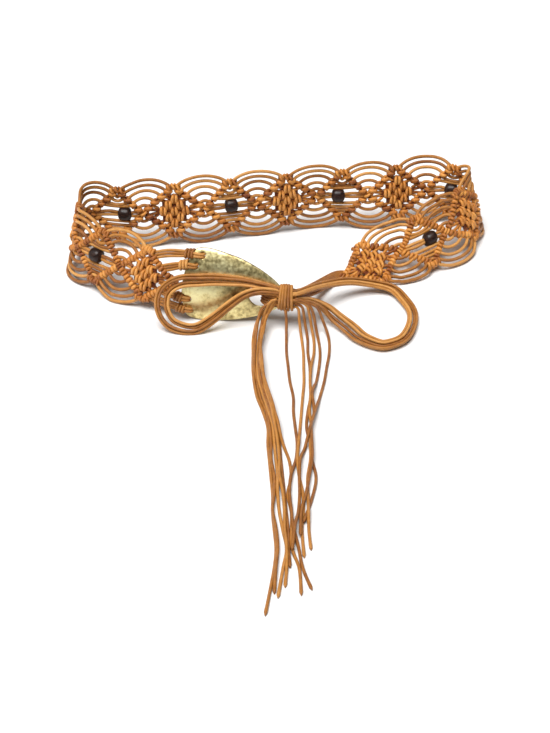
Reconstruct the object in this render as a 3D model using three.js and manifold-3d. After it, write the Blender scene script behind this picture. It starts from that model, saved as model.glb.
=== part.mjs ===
// A macrame rope belt, tied shut and standing on its edge as a closed loop: a knotted band of
// thirteen diamonds, six drilled wooden beads, a brass buckle plate laced to one end, and tie
// cords at the other end, which are knotted in a bow round the tip of the plate.
// Millimetres, +Z up. -Y is the front, where the plate and the bow are. The origin is on the
// surface that the belt stands on, under the middle of what stands there.
import * as THREE from 'three';
import { mergeVertices } from 'three/addons/utils/BufferGeometryUtils.js';
import Module from 'manifold-3d';

const wasm = await Module();
wasm.setup();

// Driving dimensions
const CORD = 2.0;               // waxed cord, across
const KNOTTED_RUN = 44.5;       // a knotted diamond, along the belt
const BEAD_RUN = 36.5;          // a bead diamond, along the belt
const DIAMOND_HEIGHT = 39.5;    // a diamond, across the belt, over its ridges
const SCALLOP_RISE = 6.0;       // from a diamond's top to the crest of the outer cords
const RIDGE = 4.2;              // a knotted ridge, across and through the belt
const PAD = 3.4;                // the knotted filling of a diamond, through the belt
const FLAT_DEPTH = 0.25;        // how much of the belt's lowest cords is pressed flat

const BEAD_DIAMETER = 10.0;
const BEAD_LENGTH = 9.6;
const BEAD_NECK = 7.4;          // a bead's diameter at its ends

const BUCKLE_LENGTH = 73.0;
const BUCKLE_HEIGHT = 49.4;
const BUCKLE_THICKNESS = 1.8;
const BUCKLE_DOME = 5.0;        // how far the plate's middle stands out past its rim
const BUCKLE_GAP = 5.0;         // from the band's first crossing to the plate
const BUCKLE_LEAN = 20;         // degrees that the plate leans back
const BUCKLE_DIP = 8;           // degrees that its tip points down
const LACING_HOLE = 3.9;        // diameter
const TIE_HOLE_LENGTH = 19.0;
const TIE_HOLE_HEIGHT = 16.0;

const KNOT_LENGTH = 12.0;
const KNOT_HEIGHT = 19.0;
const KNOT_DEPTH = 9.5;
const BUNDLE_WIDTH = 7.0;       // six tie cords side by side and on each other
const BUNDLE_DEPTH = 4.6;
const BOW_LEFT_ENDS = [0.37, 0.12];     // above the knot's middle, as shares of KNOT_HEIGHT
const BOW_RIGHT_ENDS = [0.32, 0.04];

const CLEARANCE = 0.3;          // between pieces that meet

const HALF_HEIGHT = DIAMOND_HEIGHT / 2;
const REACH = HALF_HEIGHT + SCALLOP_RISE;
const APEX = HALF_HEIGHT - RIDGE / 2;     // where the middle lines of two ridges meet

// The band's course from the plate round to the ties, one row for each diamond. Headings are
// degrees in plan at the diamond's middle and at its far crossing, and lean is at the far
// crossing, + where the belt's top edge leans in towards the waist. A bead has slid along its
// cords by a share of its diamond's run, + away from the plate.
const START = { heading: 178, lean: 4 };
const COURSE = [
  { bead: false, middle: 147, far: 146, lean: 28 },
  { bead: true, middle: 146, far: 138, lean: 18, slid: 0.055 },
  { bead: false, middle: 82, far: 22, lean: -4 },
  { bead: true, middle: -7, far: 20, lean: -14, slid: 0.14 },
  { bead: false, middle: 5, far: 14, lean: -13 },
  { bead: true, middle: 11, far: 6, lean: -9, slid: 0.01 },
  { bead: false, middle: 13, far: 9, lean: -4 },
  { bead: true, middle: 2, far: 3, lean: -13, slid: -0.075 },
  { bead: false, middle: 14, far: 6, lean: -24 },
  { bead: true, middle: -13, far: -72, lean: 14, slid: -0.015 },
  { bead: false, middle: -124, far: -160, lean: 46 },
  { bead: true, middle: -152, far: -174, lean: 65, slid: -0.14 },
  { bead: false, middle: -151, far: -172, lean: 88 },
];
const STRAIGHT = 0.45;          // share of each diamond's run that doesn't turn, at its middle

// The cords that arch from one diamond to the next, from the crossing outwards: where they leave
// the ridge, as a share of its length, and the height of their crest, as a share of REACH. A
// fifth one, nearest to the crossing, lies close to the ridges and is solid with them.
const ARCHES = [
  { leaves: 0.40, crest: 0.44, steps: 4 },
  { leaves: 0.60, crest: 0.65, steps: 5 },
  { leaves: 0.80, crest: 0.82, steps: 5 },
  { leaves: 1.00, crest: 0.96, steps: 6 },
];
const ARCH_FULLNESS = 0.7;

// The strand over and under a bead: where it leaves the ridge and how far out its middle hangs,
// as shares of the ridge's height.
const SLACK_STRAND = { leaves: 0.66, middle: 0.42 };

// The gaps between the square knots of a knotted diamond: their middle and half their size, as
// shares of half the diamond's run and of a ridge's height.
const KNOT_GAP = { along: 0.40, up: 0.30, halfRun: 0.13, halfHeight: 0.12 };

// Half of the plate's outline from its round end to its tip: along as a share of BUCKLE_LENGTH
// from the plate's middle, and half its height there as a share of half of BUCKLE_HEIGHT.
const PLATE = [
  { along: -0.452, half: 0.00 },
  { along: -0.445, half: 0.30 },
  { along: -0.420, half: 0.62 },
  { along: -0.375, half: 0.92 },
  { along: -0.300, half: 1.00 },
  { along: -0.190, half: 0.99 },
  { along: -0.080, half: 0.94 },
  { along: 0.030, half: 0.88 },
  { along: 0.140, half: 0.78 },
  { along: 0.250, half: 0.65 },
  { along: 0.360, half: 0.48 },
  { along: 0.450, half: 0.29 },
  { along: 0.520, half: 0.11 },
  { along: 0.548, half: 0.00 },
];
// Half of the tie hole's outline, from its round end, as shares of its own length and half height
const TIE_HOLE_AT = 0.16;       // its round end, as a share of BUCKLE_LENGTH from the middle
const TIE_HOLE = [
  { along: 0.00, half: 0.00 },
  { along: 0.06, half: 0.48 },
  { along: 0.22, half: 0.86 },
  { along: 0.42, half: 1.00 },
  { along: 0.64, half: 0.86 },
  { along: 0.84, half: 0.56 },
  { along: 0.97, half: 0.28 },
  { along: 1.00, half: 0.00 },
];
// The four lacings, from the top down: height on the plate as a share of half its height, the
// place on the first diamond's ridge, as a share of its length, that the cords come from, and
// how far the hole's middle is from the plate's edge, in millimetres.
const LACINGS = [
  { height: 0.80, ridge: 0.92, margin: 6.4 },
  { height: 0.50, ridge: 0.46, margin: 5.6 },
  { height: -0.44, ridge: 0.46, margin: 4.0 },
  { height: -0.76, ridge: 0.92, margin: 4.0 },
];

// The tie cords' routes in plan. x and y are from the middle of the knot, and z is the height
// over the surface.
const LEFT_LOOP = [
  [-8, 3.5, 29], [-18, 5.8, 32], [-28, 8, 34], [-39, 8.9, 35], [-49, 9, 35.4], [-59, 8.8, 35],
  [-69, 8, 33.7], [-79, 6, 30], [-85, 2.3, 23.7], [-85.3, -2.7, 15], [-79.5, -7.5, 7.5],
  [-69, -9.5, 4.2], [-59, -9, 4.4], [-49, -6.5, 9], [-39, -3, 15], [-28, 0, 21.5],
  [-18, 1.5, 25], [-8, 2, 26],
];
const RIGHT_LOOP = [
  [6.5, 0, 28], [16, 12, 24], [27, 25, 18], [43, 33, 12], [60, 37, 6.5], [73, 34.5, 4.2],
  [80.5, 23.5, 3], [85, 10.5, 2.6], [84, -3.5, 2.6], [78, -18, 2.6], [69, -24.5, 2.6],
  [61, -25.5, 2.6], [49.5, -18, 2.6], [42, -8, 3.2], [34, 1.5, 5], [26, 8, 10],
  [17, 6, 16.5], [8, 0, 22.8],
];
// The twelve ends on the surface: how far each lies to the right of the knot at every
// END_STEP in front of it, from END_START on, and where its tip is.
const END_START = 17;
const END_STEP = 15;
const END_LANDING = [2.4, 0.5];   // how far above the surface they still are at the first steps
const TIE_ENDS = [
  {
    out: -5,
    across: [-22, -22, -22, -21, -19, -15, -12, -12, -11, -10, -9, -9, -8, -7, -8, -10],
    tip: [-13, 263],
  },
  {
    out: -5,
    across: [-20, -21, -21, -19, -17, -13, -11, -10, -10, -8, -8, -9, -7, -6, -7],
    tip: [-8, 247],
  },
  {
    out: -5,
    across: [-18, -19, -19, -18, -15, -12, -9, -8, -7, -6, -6, -5, -3, -1, -3],
    tip: [-6, 250],
  },
  {
    out: -5,
    across: [-17, -18, -18, -17, -14, -11, -8, -5, -4, -3, -2, -1, 0, 0],
    tip: [1, 227],
  },
  {
    out: -4,
    across: [-16, -17, -17, -15, -13, -10, -8, -6, -5, -5, -3, -2, -2, -1, -1],
    tip: [-2, 242],
  },
  {
    out: -4,
    across: [-15, -17, -16, -15, -12, -9, -6, -3, 1, 2, 0, 2, 2, 2, 6],
    tip: [7, 248],
  },
  {
    out: 0,
    across: [0, 0, 1, 2, 4, 4, 5, 6, 5, 2, 1, 2, 3, 6, 8],
    tip: [13, 244],
  },
  {
    out: 5,
    across: [10, 11, 11, 11, 10, 9, 8, 7, 6, 7, 9, 9, 8],
    tip: [9, 219],
  },
  {
    out: 6,
    across: [14, 14, 15, 15, 15, 13, 12, 14, 15, 17, 15],
    tip: [9, 192],
  },
  {
    out: 6,
    across: [18, 18, 16, 15, 15, 14, 15, 14, 14, 12, 12, 12, 12],
    tip: [13, 213],
  },
  {
    out: 7,
    across: [21, 22, 21, 19, 16, 17, 15, 15, 15, 13, 11, 8],
    tip: [7, 203],
  },
  {
    out: 7,
    across: [28, 28, 26, 24, 21, 18, 15, 12, 8, 7, 7, 6, 4],
    tip: [2, 216],
  },
];

const radians = THREE.MathUtils.degToRad;

const MATERIALS = {
  cord: new THREE.MeshStandardMaterial({ color: 0xb9722f, roughness: 0.6, metalness: 0 }),
  bead: new THREE.MeshStandardMaterial({ color: 0x2b1710, roughness: 0.3, metalness: 0 }),
  brass: new THREE.MeshStandardMaterial({ color: 0x8f8350, roughness: 0.4, metalness: 1 }),
};

// Solids
function toSolid(geometry) {
  const bare = geometry.index ? geometry.toNonIndexed() : geometry.clone();
  bare.deleteAttribute('normal');
  bare.deleteAttribute('uv');
  const merged = mergeVertices(bare, 1e-4);
  return new wasm.Manifold(new wasm.Mesh({
    numProp: 3,
    vertProperties: new Float32Array(merged.attributes.position.array),
    triVerts: new Uint32Array(merged.index.array),
  }));
}

function toGeometry(solid) {
  const mesh = solid.getMesh();
  const geometry = new THREE.BufferGeometry();
  geometry.setAttribute('position', new THREE.BufferAttribute(new Float32Array(mesh.vertProperties), 3));
  geometry.setIndex(new THREE.BufferAttribute(new Uint32Array(mesh.triVerts), 1));
  geometry.computeVertexNormals();
  return geometry;
}

function join(solids) {
  return solids.reduce((all, solid) => all.add(solid));
}

// Moves each vertex of a geometry, in place, to where the function puts it
function reshape(geometry, placed) {
  const position = geometry.attributes.position;
  for (let i = 0; i < position.count; i += 1) {
    const p = placed(position.getX(i), position.getY(i), position.getZ(i));
    position.setXYZ(i, p.x, p.y, p.z);
  }
  return geometry;
}

// A bundle along a route: a closed cylinder with round or oval section, bent to the curve.
// The section's width lies across the route and its depth lies towards `facing`.
function bundle(points, { width, depth, sides = 8, steps = 10, facing, taper = () => 1 }) {
  const curve = new THREE.CatmullRomCurve3(points, false, 'centripetal');
  const cylinder = new THREE.CylinderGeometry(1, 1, 1, sides, steps);
  return reshape(cylinder, (x, y, z) => {
    const t = THREE.MathUtils.clamp(y + 0.5, 0, 1);
    const tangent = curve.getTangentAt(t);
    const across = new THREE.Vector3().crossVectors(facing, tangent).normalize();
    const out = new THREE.Vector3().crossVectors(across, tangent).normalize();
    const size = taper(t);
    return curve.getPointAt(t)
      .addScaledVector(across, x * size * width / 2)
      .addScaledVector(out, z * size * depth / 2);
  });
}

function rod(from, to, options) {
  return bundle([from, from.clone().lerp(to, 0.5), to], options);
}

// The band's course in plan
const runs = COURSE.map((row) => (row.bead ? BEAD_RUN : KNOTTED_RUN));
const crossings = runs.reduce((list, run) => [...list, list.at(-1) + run], [0]);
const middles = runs.map((run, i) => crossings[i] + run / 2);
const BAND_LENGTH = crossings.at(-1);

function beadAt(i) {
  return middles[i] + COURSE[i].slid * runs[i];
}

function turningKeys() {
  const keys = [{ u: 0, value: START.heading }];
  COURSE.forEach((row, i) => {
    const hold = runs[i] * STRAIGHT / 2;
    keys.push({ u: middles[i] - hold, value: row.middle }, { u: middles[i] + hold, value: row.middle });
    keys.push({ u: crossings[i + 1], value: row.far });
  });
  return keys;
}

function leaningKeys() {
  return [START, ...COURSE].map((row, i) => ({ u: crossings[i], value: row.lean }));
}

function valueAt(keys, u) {
  const last = keys.length - 1;
  if (u <= keys[0].u) return keys[0].value;
  if (u >= keys[last].u) return keys[last].value;
  const i = keys.findIndex((key) => key.u >= u);
  const share = (u - keys[i - 1].u) / (keys[i].u - keys[i - 1].u);
  return THREE.MathUtils.lerp(keys[i - 1].value, keys[i].value, share);
}

const headingKeys = turningKeys();
const leanKeys = leaningKeys();
const COURSE_STEP = 0.5;
const trail = [{ x: 0, y: 0 }];
for (let u = 0; u < BAND_LENGTH; u += COURSE_STEP) {
  const heading = radians(valueAt(headingKeys, u + COURSE_STEP / 2));
  const { x, y } = trail.at(-1);
  trail.push({ x: x + COURSE_STEP * Math.cos(heading), y: y + COURSE_STEP * Math.sin(heading) });
}

function courseAt(u) {
  const heading = radians(valueAt(headingKeys, u));
  const i = THREE.MathUtils.clamp(Math.floor(u / COURSE_STEP), 0, trail.length - 1);
  const rest = u - i * COURSE_STEP;
  return {
    x: trail[i].x + rest * Math.cos(heading),
    y: trail[i].y + rest * Math.sin(heading),
    heading,
    lean: radians(valueAt(leanKeys, u)),
  };
}

// A point of the band: u along it, v up across it, w out through it, away from the waist. Seen
// from outside, u runs to the left, so a flat shape is turned over as it is put there.
function onBand(u, v, w) {
  const { x, y, heading, lean } = courseAt(u);
  const inward = v * Math.sin(lean) - w * Math.cos(lean);
  const middle = REACH * Math.cos(lean) + (RIDGE / 2) * Math.abs(Math.sin(lean)) - FLAT_DEPTH;
  return new THREE.Vector3(
    x + inward * Math.sin(heading),
    y - inward * Math.cos(heading),
    middle + v * Math.cos(lean) + w * Math.sin(lean),
  );
}

// The band
function ridgeSlant(run) {
  return Math.hypot(run / 2, APEX) / APEX;
}

function along(from, to, share) {
  return { u: THREE.MathUtils.lerp(from.u, to.u, share), v: THREE.MathUtils.lerp(from.v, to.v, share) };
}

function offsetLine(line, distance) {
  return line.map((point, i) => {
    const before = line[Math.max(i - 1, 0)];
    const after = line[Math.min(i + 1, line.length - 1)];
    const length = Math.hypot(after.u - before.u, after.v - before.v);
    return {
      u: point.u - distance * (after.v - before.v) / length,
      v: point.v + distance * (after.u - before.u) / length,
    };
  });
}

// The stretch of a line that lies between two slanted edges, each given as u at a height v
function clipLine(line, leftEdge, rightEdge) {
  const room = (p) => Math.min(p.u - leftEdge(p.v), rightEdge(p.v) - p.u);
  const kept = [];
  line.forEach((point, i) => {
    const before = line[i - 1];
    if (before && (room(before) < 0) !== (room(point) < 0)) {
      kept.push(along(before, point, room(before) / (room(before) - room(point))));
    }
    if (room(point) >= 0) kept.push(point);
  });
  return kept;
}

function hangingLine(left, right, middleHeight, steps, fullness) {
  const line = [];
  for (let i = 0; i <= steps; i += 1) {
    const x = -1 + 2 * i / steps;
    const end = THREE.MathUtils.lerp(left.v, right.v, i / steps);
    line.push({
      u: THREE.MathUtils.lerp(left.u, right.u, i / steps),
      v: end + (middleHeight - end) * (1 - x * x) ** fullness,
    });
  }
  return line;
}

// A line flipped to the band's lower side, with its points in the order that keeps it turning
// the same way round
function mirrored(line, side) {
  const flipped = line.map((p) => ({ u: p.u, v: side * p.v }));
  return side < 0 ? flipped.reverse() : flipped;
}

// The cords that arch over a crossing, and the gaps between them
function scallopGaps(j, side) {
  const left = runs[j - 1] / 2;
  const right = runs[j] / 2;
  const u = crossings[j];
  const leftEdge = (v) => u - v * left / APEX + (RIDGE / 2) * ridgeSlant(runs[j - 1]);
  const rightEdge = (v) => u + v * right / APEX - (RIDGE / 2) * ridgeSlant(runs[j]);
  const arches = ARCHES.map(({ leaves, crest, steps }) => hangingLine(
    { u: u - leaves * left, v: leaves * APEX },
    { u: u + leaves * right, v: leaves * APEX },
    crest * REACH,
    steps,
    ARCH_FULLNESS,
  ));
  return arches.slice(1).map((arch, n) => {
    const lower = clipLine(offsetLine(arches[n], CORD / 2), leftEdge, rightEdge);
    const upper = clipLine(offsetLine(arch, -CORD / 2), leftEdge, rightEdge);
    return mirrored([...lower, ...upper.reverse()], side);
  });
}

// The gaps of one half of a bead diamond, over and under its slack strand
function beadGaps(i, side) {
  const run = runs[i];
  const slant = (RIDGE / 2) * ridgeSlant(run);
  const leftEdge = (v) => crossings[i] + v * run / 2 / APEX + slant;
  const rightEdge = (v) => crossings[i + 1] - v * run / 2 / APEX - slant;
  const height = SLACK_STRAND.leaves * APEX;
  const strand = hangingLine(
    { u: crossings[i] + SLACK_STRAND.leaves * run / 2, v: height },
    { u: crossings[i + 1] - SLACK_STRAND.leaves * run / 2, v: height },
    SLACK_STRAND.middle * APEX,
    4,
    1,
  );
  const under = clipLine(offsetLine(strand, -CORD / 2), leftEdge, rightEdge);
  const over = clipLine(offsetLine(strand, CORD / 2), leftEdge, rightEdge);
  const top = APEX * (1 - slant / (run / 2)) - CORD / 2;
  const nearBead = BEAD_LENGTH / 2 + CORD / 2;
  const spread = CORD * 1.25;
  const core = [
    { u: leftEdge(spread), v: spread },
    { u: beadAt(i) - nearBead, v: CORD },
    { u: beadAt(i) + nearBead, v: CORD },
    { u: rightEdge(spread), v: spread },
  ];
  return [
    [...core, ...under.reverse()],
    [...over, { u: rightEdge(top), v: top }, { u: leftEdge(top), v: top }],
  ].map((gap) => mirrored(gap, side));
}

// The gaps of one half of a knotted diamond, as small diamonds
function knotGaps(i, side) {
  return [-1, 1].map((end) => {
    const u = middles[i] + end * KNOT_GAP.along * runs[i] / 2;
    const v = KNOT_GAP.up * APEX;
    const a = KNOT_GAP.halfRun * runs[i] / 2;
    const b = KNOT_GAP.halfHeight * APEX;
    const gap = [{ u: u - a, v }, { u, v: v - b }, { u: u + a, v }, { u, v: v + b }];
    return mirrored(gap, side);
  });
}

// The band's outer edge on one side, from the first diamond's point to the last one's
function scallopEdge(side) {
  const line = [];
  const dip = HALF_HEIGHT - CORD / 4;
  for (let j = 1; j < COURSE.length; j += 1) {
    const arch = hangingLine(
      { u: middles[j - 1], v: dip },
      { u: middles[j], v: dip },
      REACH,
      7,
      ARCH_FULLNESS,
    );
    line.push({ u: middles[j - 1], v: HALF_HEIGHT }, ...arch.slice(1, -1));
  }
  line.push({ u: middles.at(-1), v: HALF_HEIGHT });
  return mirrored(line, side);
}

function bandOutline() {
  const blunt = RIDGE / 2;
  const first = [[-blunt, -blunt / 2], [-blunt, blunt / 2]].map(([u, v]) => ({ u, v }));
  const last = [[blunt, blunt / 2], [blunt, -blunt / 2]].map(([u, v]) => ({ u: BAND_LENGTH + u, v }));
  const top = scallopEdge(1);
  const bottom = scallopEdge(-1);
  const slope = (from, to) => [1 / 3, 2 / 3].map((share) => along(from, to, share));
  return [
    ...first, ...slope(first[1], top[0]),
    ...top, ...slope(top.at(-1), last[0]),
    ...last, ...slope(last[1], bottom[0]),
    ...bottom, ...slope(bottom.at(-1), first[0]),
  ];
}

function toPath(line, PathClass) {
  const path = new PathClass();
  line.forEach(({ u, v }, i) => (i ? path.lineTo(u, v) : path.moveTo(u, v)));
  path.closePath();
  return path;
}

// Half the band's thickness: full at the ridges, less in a knotted filling, one cord elsewhere
function halfDepth(u, v) {
  const i = Math.max(crossings.findIndex((crossing) => crossing >= u) - 1, 0);
  const half = runs[i] / 2;
  const outside = Math.abs(u - middles[i]) / half + Math.abs(v) / APEX - 1;
  const fromRidge = Math.abs(outside) * half * APEX / Math.hypot(half, APEX);
  if (COURSE[i].bead && outside < 0 && Math.abs(v) < 1.5 * CORD) return CORD / 2;
  if (fromRidge < RIDGE / 2 + CLEARANCE) return RIDGE / 2;
  return outside < 0 && !COURSE[i].bead ? PAD / 2 : CORD / 2;
}

// Beads, drilled for the two middle cords
const BEAD_FACETS = 12;
const BEAD_BORE = (Math.hypot(CORD, CORD / 2) + 1.4 * CLEARANCE) / Math.cos(Math.PI / BEAD_FACETS);

function beadGeometry() {
  const half = BEAD_LENGTH / 2;
  const profile = [
    [BEAD_BORE, -half], [BEAD_NECK / 2, -half], [BEAD_DIAMETER / 2, -half * 0.55],
    [BEAD_DIAMETER / 2, half * 0.55], [BEAD_NECK / 2, half], [BEAD_BORE, half], [BEAD_BORE, -half],
  ];
  return new THREE.LatheGeometry(profile.map(([r, l]) => new THREE.Vector2(r, l)), BEAD_FACETS);
}

// Puts a shape that is made round the Y axis where a diamond's bead is, along the band
function atBead(geometry, i) {
  const direction = onBand(beadAt(i) + 1, 0, 0).sub(onBand(beadAt(i) - 1, 0, 0)).normalize();
  const turn = new THREE.Quaternion().setFromUnitVectors(new THREE.Vector3(0, 1, 0), direction);
  return geometry.applyQuaternion(turn).translate(...onBand(beadAt(i), 0, 0));
}

// The room that a bead takes up, and CLEARANCE round it
function beadRoom(i) {
  const outer = BEAD_DIAMETER / 2 + CLEARANCE;
  const inner = BEAD_BORE - CLEARANCE;
  const length = BEAD_LENGTH + 2 * CLEARANCE;
  const solid = toSolid(new THREE.CylinderGeometry(outer, outer, length, BEAD_FACETS));
  const core = toSolid(new THREE.CylinderGeometry(inner, inner, 2 * length, BEAD_FACETS));
  return toSolid(atBead(toGeometry(solid.subtract(core)), i));
}

const beadDiamonds = COURSE.map((row, i) => (row.bead ? i : null)).filter((i) => i !== null);

// The band is cut flat and then bent to its course
function slab(line, thickness) {
  const settings = { depth: thickness, steps: 1, bevelEnabled: false };
  const geometry = new THREE.ExtrudeGeometry(toPath(line, THREE.Shape), settings);
  return toSolid(geometry.translate(0, 0, -thickness / 2));
}

function bandGeometry() {
  const windows = [];
  for (const side of [1, -1]) {
    for (let j = 1; j < COURSE.length; j += 1) windows.push(...scallopGaps(j, side));
    COURSE.forEach((row, i) => windows.push(...(row.bead ? beadGaps : knotGaps)(i, side)));
  }
  const net = slab(bandOutline(), 2).subtract(join(windows.map((line) => slab(line, 4))));
  const bent = reshape(toGeometry(net), (u, v, w) => onBand(u, v, -w * halfDepth(u, v)));
  const under = new THREE.BoxGeometry(3 * BAND_LENGTH, 3 * BAND_LENGTH, REACH);
  under.translate(0, 0, -REACH / 2);
  const rooms = beadDiamonds.map(beadRoom);
  return toGeometry(toSolid(bent).subtract(join([toSolid(under), ...rooms])));
}

function closed(geometry) {
  return toGeometry(toSolid(geometry));
}

// The plate: `along` runs towards its tip, `up` across it and `out` away from the waist
const plateHeading = radians(START.heading - 180);
const plateFrame = (() => {
  const lean = radians(BUCKLE_LEAN);
  const dip = radians(BUCKLE_DIP);
  const run = new THREE.Vector3(Math.cos(plateHeading), Math.sin(plateHeading), 0);
  const inward = new THREE.Vector3(-Math.sin(plateHeading), Math.cos(plateHeading), 0);
  const rise = inward.clone().multiplyScalar(Math.sin(lean)).setZ(Math.cos(lean));
  return {
    along: run.clone().multiplyScalar(Math.cos(dip)).addScaledVector(rise, -Math.sin(dip)),
    up: rise.clone().multiplyScalar(Math.cos(dip)).addScaledVector(run, Math.sin(dip)),
    out: new THREE.Vector3().crossVectors(run, rise),
  };
})();

function fromPlate(a, b, w) {
  return new THREE.Vector3()
    .addScaledVector(plateFrame.along, a)
    .addScaledVector(plateFrame.up, b)
    .addScaledVector(plateFrame.out, w);
}

// The plate is bent round its long axis, as a part of a tube that passes through its long edges
const domeRadius = ((BUCKLE_HEIGHT / 2) ** 2 + BUCKLE_DOME ** 2) / (2 * BUCKLE_DOME);
function domeAt(b) {
  return Math.sqrt(domeRadius ** 2 - b ** 2) - (domeRadius - BUCKLE_DOME);
}

function halfOutline(rows, length, halfHeight, start) {
  return rows.map((row) => ({ u: start + row.along * length, v: row.half * halfHeight }));
}

// Both halves of an outline, clockwise from its round end
function wholeOutline(half) {
  return [...half, ...half.slice(1, -1).reverse().map(({ u, v }) => ({ u, v: -v }))];
}

const plateHalf = halfOutline(PLATE, BUCKLE_LENGTH, BUCKLE_HEIGHT / 2, 0);
const plateOutline = wholeOutline(plateHalf);
const plateTip = plateHalf.at(-1).u;
const plateLowest = Math.min(...plateOutline.flatMap(({ u, v }) => (
  [-1, 1].map((face) => fromPlate(u, v, domeAt(v) + face * BUCKLE_THICKNESS / 2).z)
)));
const plateReach = BUCKLE_GAP - plateHalf[0].u;
const plateMiddle = new THREE.Vector3(
  courseAt(0).x + plateReach * Math.cos(plateHeading),
  courseAt(0).y + plateReach * Math.sin(plateHeading),
  -plateLowest,
);

function onPlate(a, b, w) {
  return fromPlate(a, b, w).add(plateMiddle);
}

// Where the plate's round end is, at a height across it
function plateEnd(b) {
  const i = plateHalf.findIndex(({ v }) => v >= Math.abs(b));
  const before = plateHalf[i - 1];
  return along(before, plateHalf[i], (Math.abs(b) - before.v) / (plateHalf[i].v - before.v)).u;
}

const lacings = LACINGS.map(({ height, ridge, margin }) => {
  const b = height * BUCKLE_HEIGHT / 2;
  return { b, a: plateEnd(b) + margin, ridge, margin, side: Math.sign(height) };
});

const DOME_FACETS = 10;
const LACING_FACETS = 8;
function plateGeometry() {
  const shape = toPath(plateOutline, THREE.Shape);
  const start = TIE_HOLE_AT * BUCKLE_LENGTH;
  const tieHole = wholeOutline(halfOutline(TIE_HOLE, TIE_HOLE_LENGTH, TIE_HOLE_HEIGHT / 2, start));
  shape.holes = [toPath(tieHole.reverse(), THREE.Path)];
  for (const { a, b } of lacings) {
    const circle = new THREE.EllipseCurve(a, b, LACING_HOLE / 2, LACING_HOLE / 2);
    const points = circle.getPoints(LACING_FACETS).slice(0, -1);
    shape.holes.push(toPath(points.map(({ x, y }) => ({ u: x, v: y })), THREE.Path));
  }
  const depth = 4 * BUCKLE_DOME;
  const prism = new THREE.ExtrudeGeometry(shape, { depth, steps: 1, bevelEnabled: false });
  prism.translate(0, 0, -depth / 2);
  const sheet = new THREE.BoxGeometry(
    1.2 * BUCKLE_LENGTH, BUCKLE_HEIGHT + BUCKLE_THICKNESS, BUCKLE_THICKNESS, 1, DOME_FACETS, 1,
  );
  reshape(sheet, (a, b, w) => new THREE.Vector3(a, b, w + domeAt(b)));
  const plate = toGeometry(toSolid(prism).intersect(toSolid(sheet)));
  return reshape(plate, (a, b, w) => onPlate(a, b, w));
}

// A lacing: a ring of cord through the plate's hole and round its edge, the wraps beside it, and
// the cords that lead back to the first diamond's ridge
function lacingGeometry({ a, b, ridge, margin, side }) {
  const wire = CORD / 2;
  const radius = (margin + CLEARANCE + wire) / 2 + CLEARANCE;
  const dome = domeAt(b);
  const ring = new THREE.TorusGeometry(radius, wire, 6, 10);
  reshape(ring, (x, y, z) => onPlate(a - radius - x, b + z, dome + y));
  const from = onPlate(a - 2 * radius, b, dome);
  const run = runs[0] / 2;
  const slant = Math.hypot(run, APEX);
  const off = RIDGE / 2 + CLEARANCE + CORD / 2;
  const u = ridge * run - off * APEX / slant;
  const seat = onBand(u, side * (ridge * APEX + off * run / slant), 0);
  const facing = plateFrame.out;
  const lead = rod(from, seat, { width: 1.6 * CORD, depth: CORD, steps: 3, facing });
  const wrapsEnd = from.clone().addScaledVector(seat.clone().sub(from).normalize(), 2 * CORD);
  const wraps = rod(from, wrapsEnd, { width: 2.4 * CORD, depth: 2.2 * CORD, steps: 1, facing });
  return toGeometry(join([ring, lead, wraps].map(toSolid)));
}

// The knot lies on the front of the plate's tip
const sideways = new THREE.Vector3(1, 0, 0);
const forwards = new THREE.Vector3(0, -1, 0);
const upwards = new THREE.Vector3(0, 0, 1);
const plateFront = domeAt(0) + BUCKLE_THICKNESS / 2 + CLEARANCE;
const plateBack = domeAt(0) - BUCKLE_THICKNESS / 2 - CLEARANCE;
const knotMiddle = onPlate(plateTip - KNOT_LENGTH / 4, KNOT_HEIGHT / 8, plateFront + KNOT_DEPTH / 2);
const knotEnd = KNOT_LENGTH / 2 + CLEARANCE;

function knotGeometry() {
  const half = plateFrame.along.clone().multiplyScalar(KNOT_LENGTH / 2);
  return closed(rod(knotMiddle.clone().sub(half), knotMiddle.clone().add(half), {
    width: KNOT_HEIGHT,
    depth: KNOT_DEPTH,
    sides: 12,
    steps: 4,
    facing: plateFrame.out,
    taper: (t) => 1 - 0.2 * (2 * t - 1) ** 2,
  }));
}

// A tie cord's place: x and y from the knot's middle, z from the surface
function fromKnot([x, y, z]) {
  return new THREE.Vector3(knotMiddle.x + x, knotMiddle.y + y, z);
}

const LOOP_STEPS = 13;
function loopGeometry(points, ends, facing) {
  const route = points.map(fromKnot);
  [route[0], route.at(-1)].forEach((end, i) => {
    end.copy(knotMiddle)
      .addScaledVector(plateFrame.along, Math.sign(points[0][0]) * (knotEnd + CORD))
      .addScaledVector(plateFrame.up, ends[i] * KNOT_HEIGHT);
  });
  return closed(bundle(route, {
    width: BUNDLE_WIDTH,
    depth: BUNDLE_DEPTH,
    steps: LOOP_STEPS,
    facing,
    taper: (t) => 1 - 0.35 * (2 * t - 1) ** 6,
  }));
}

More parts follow.
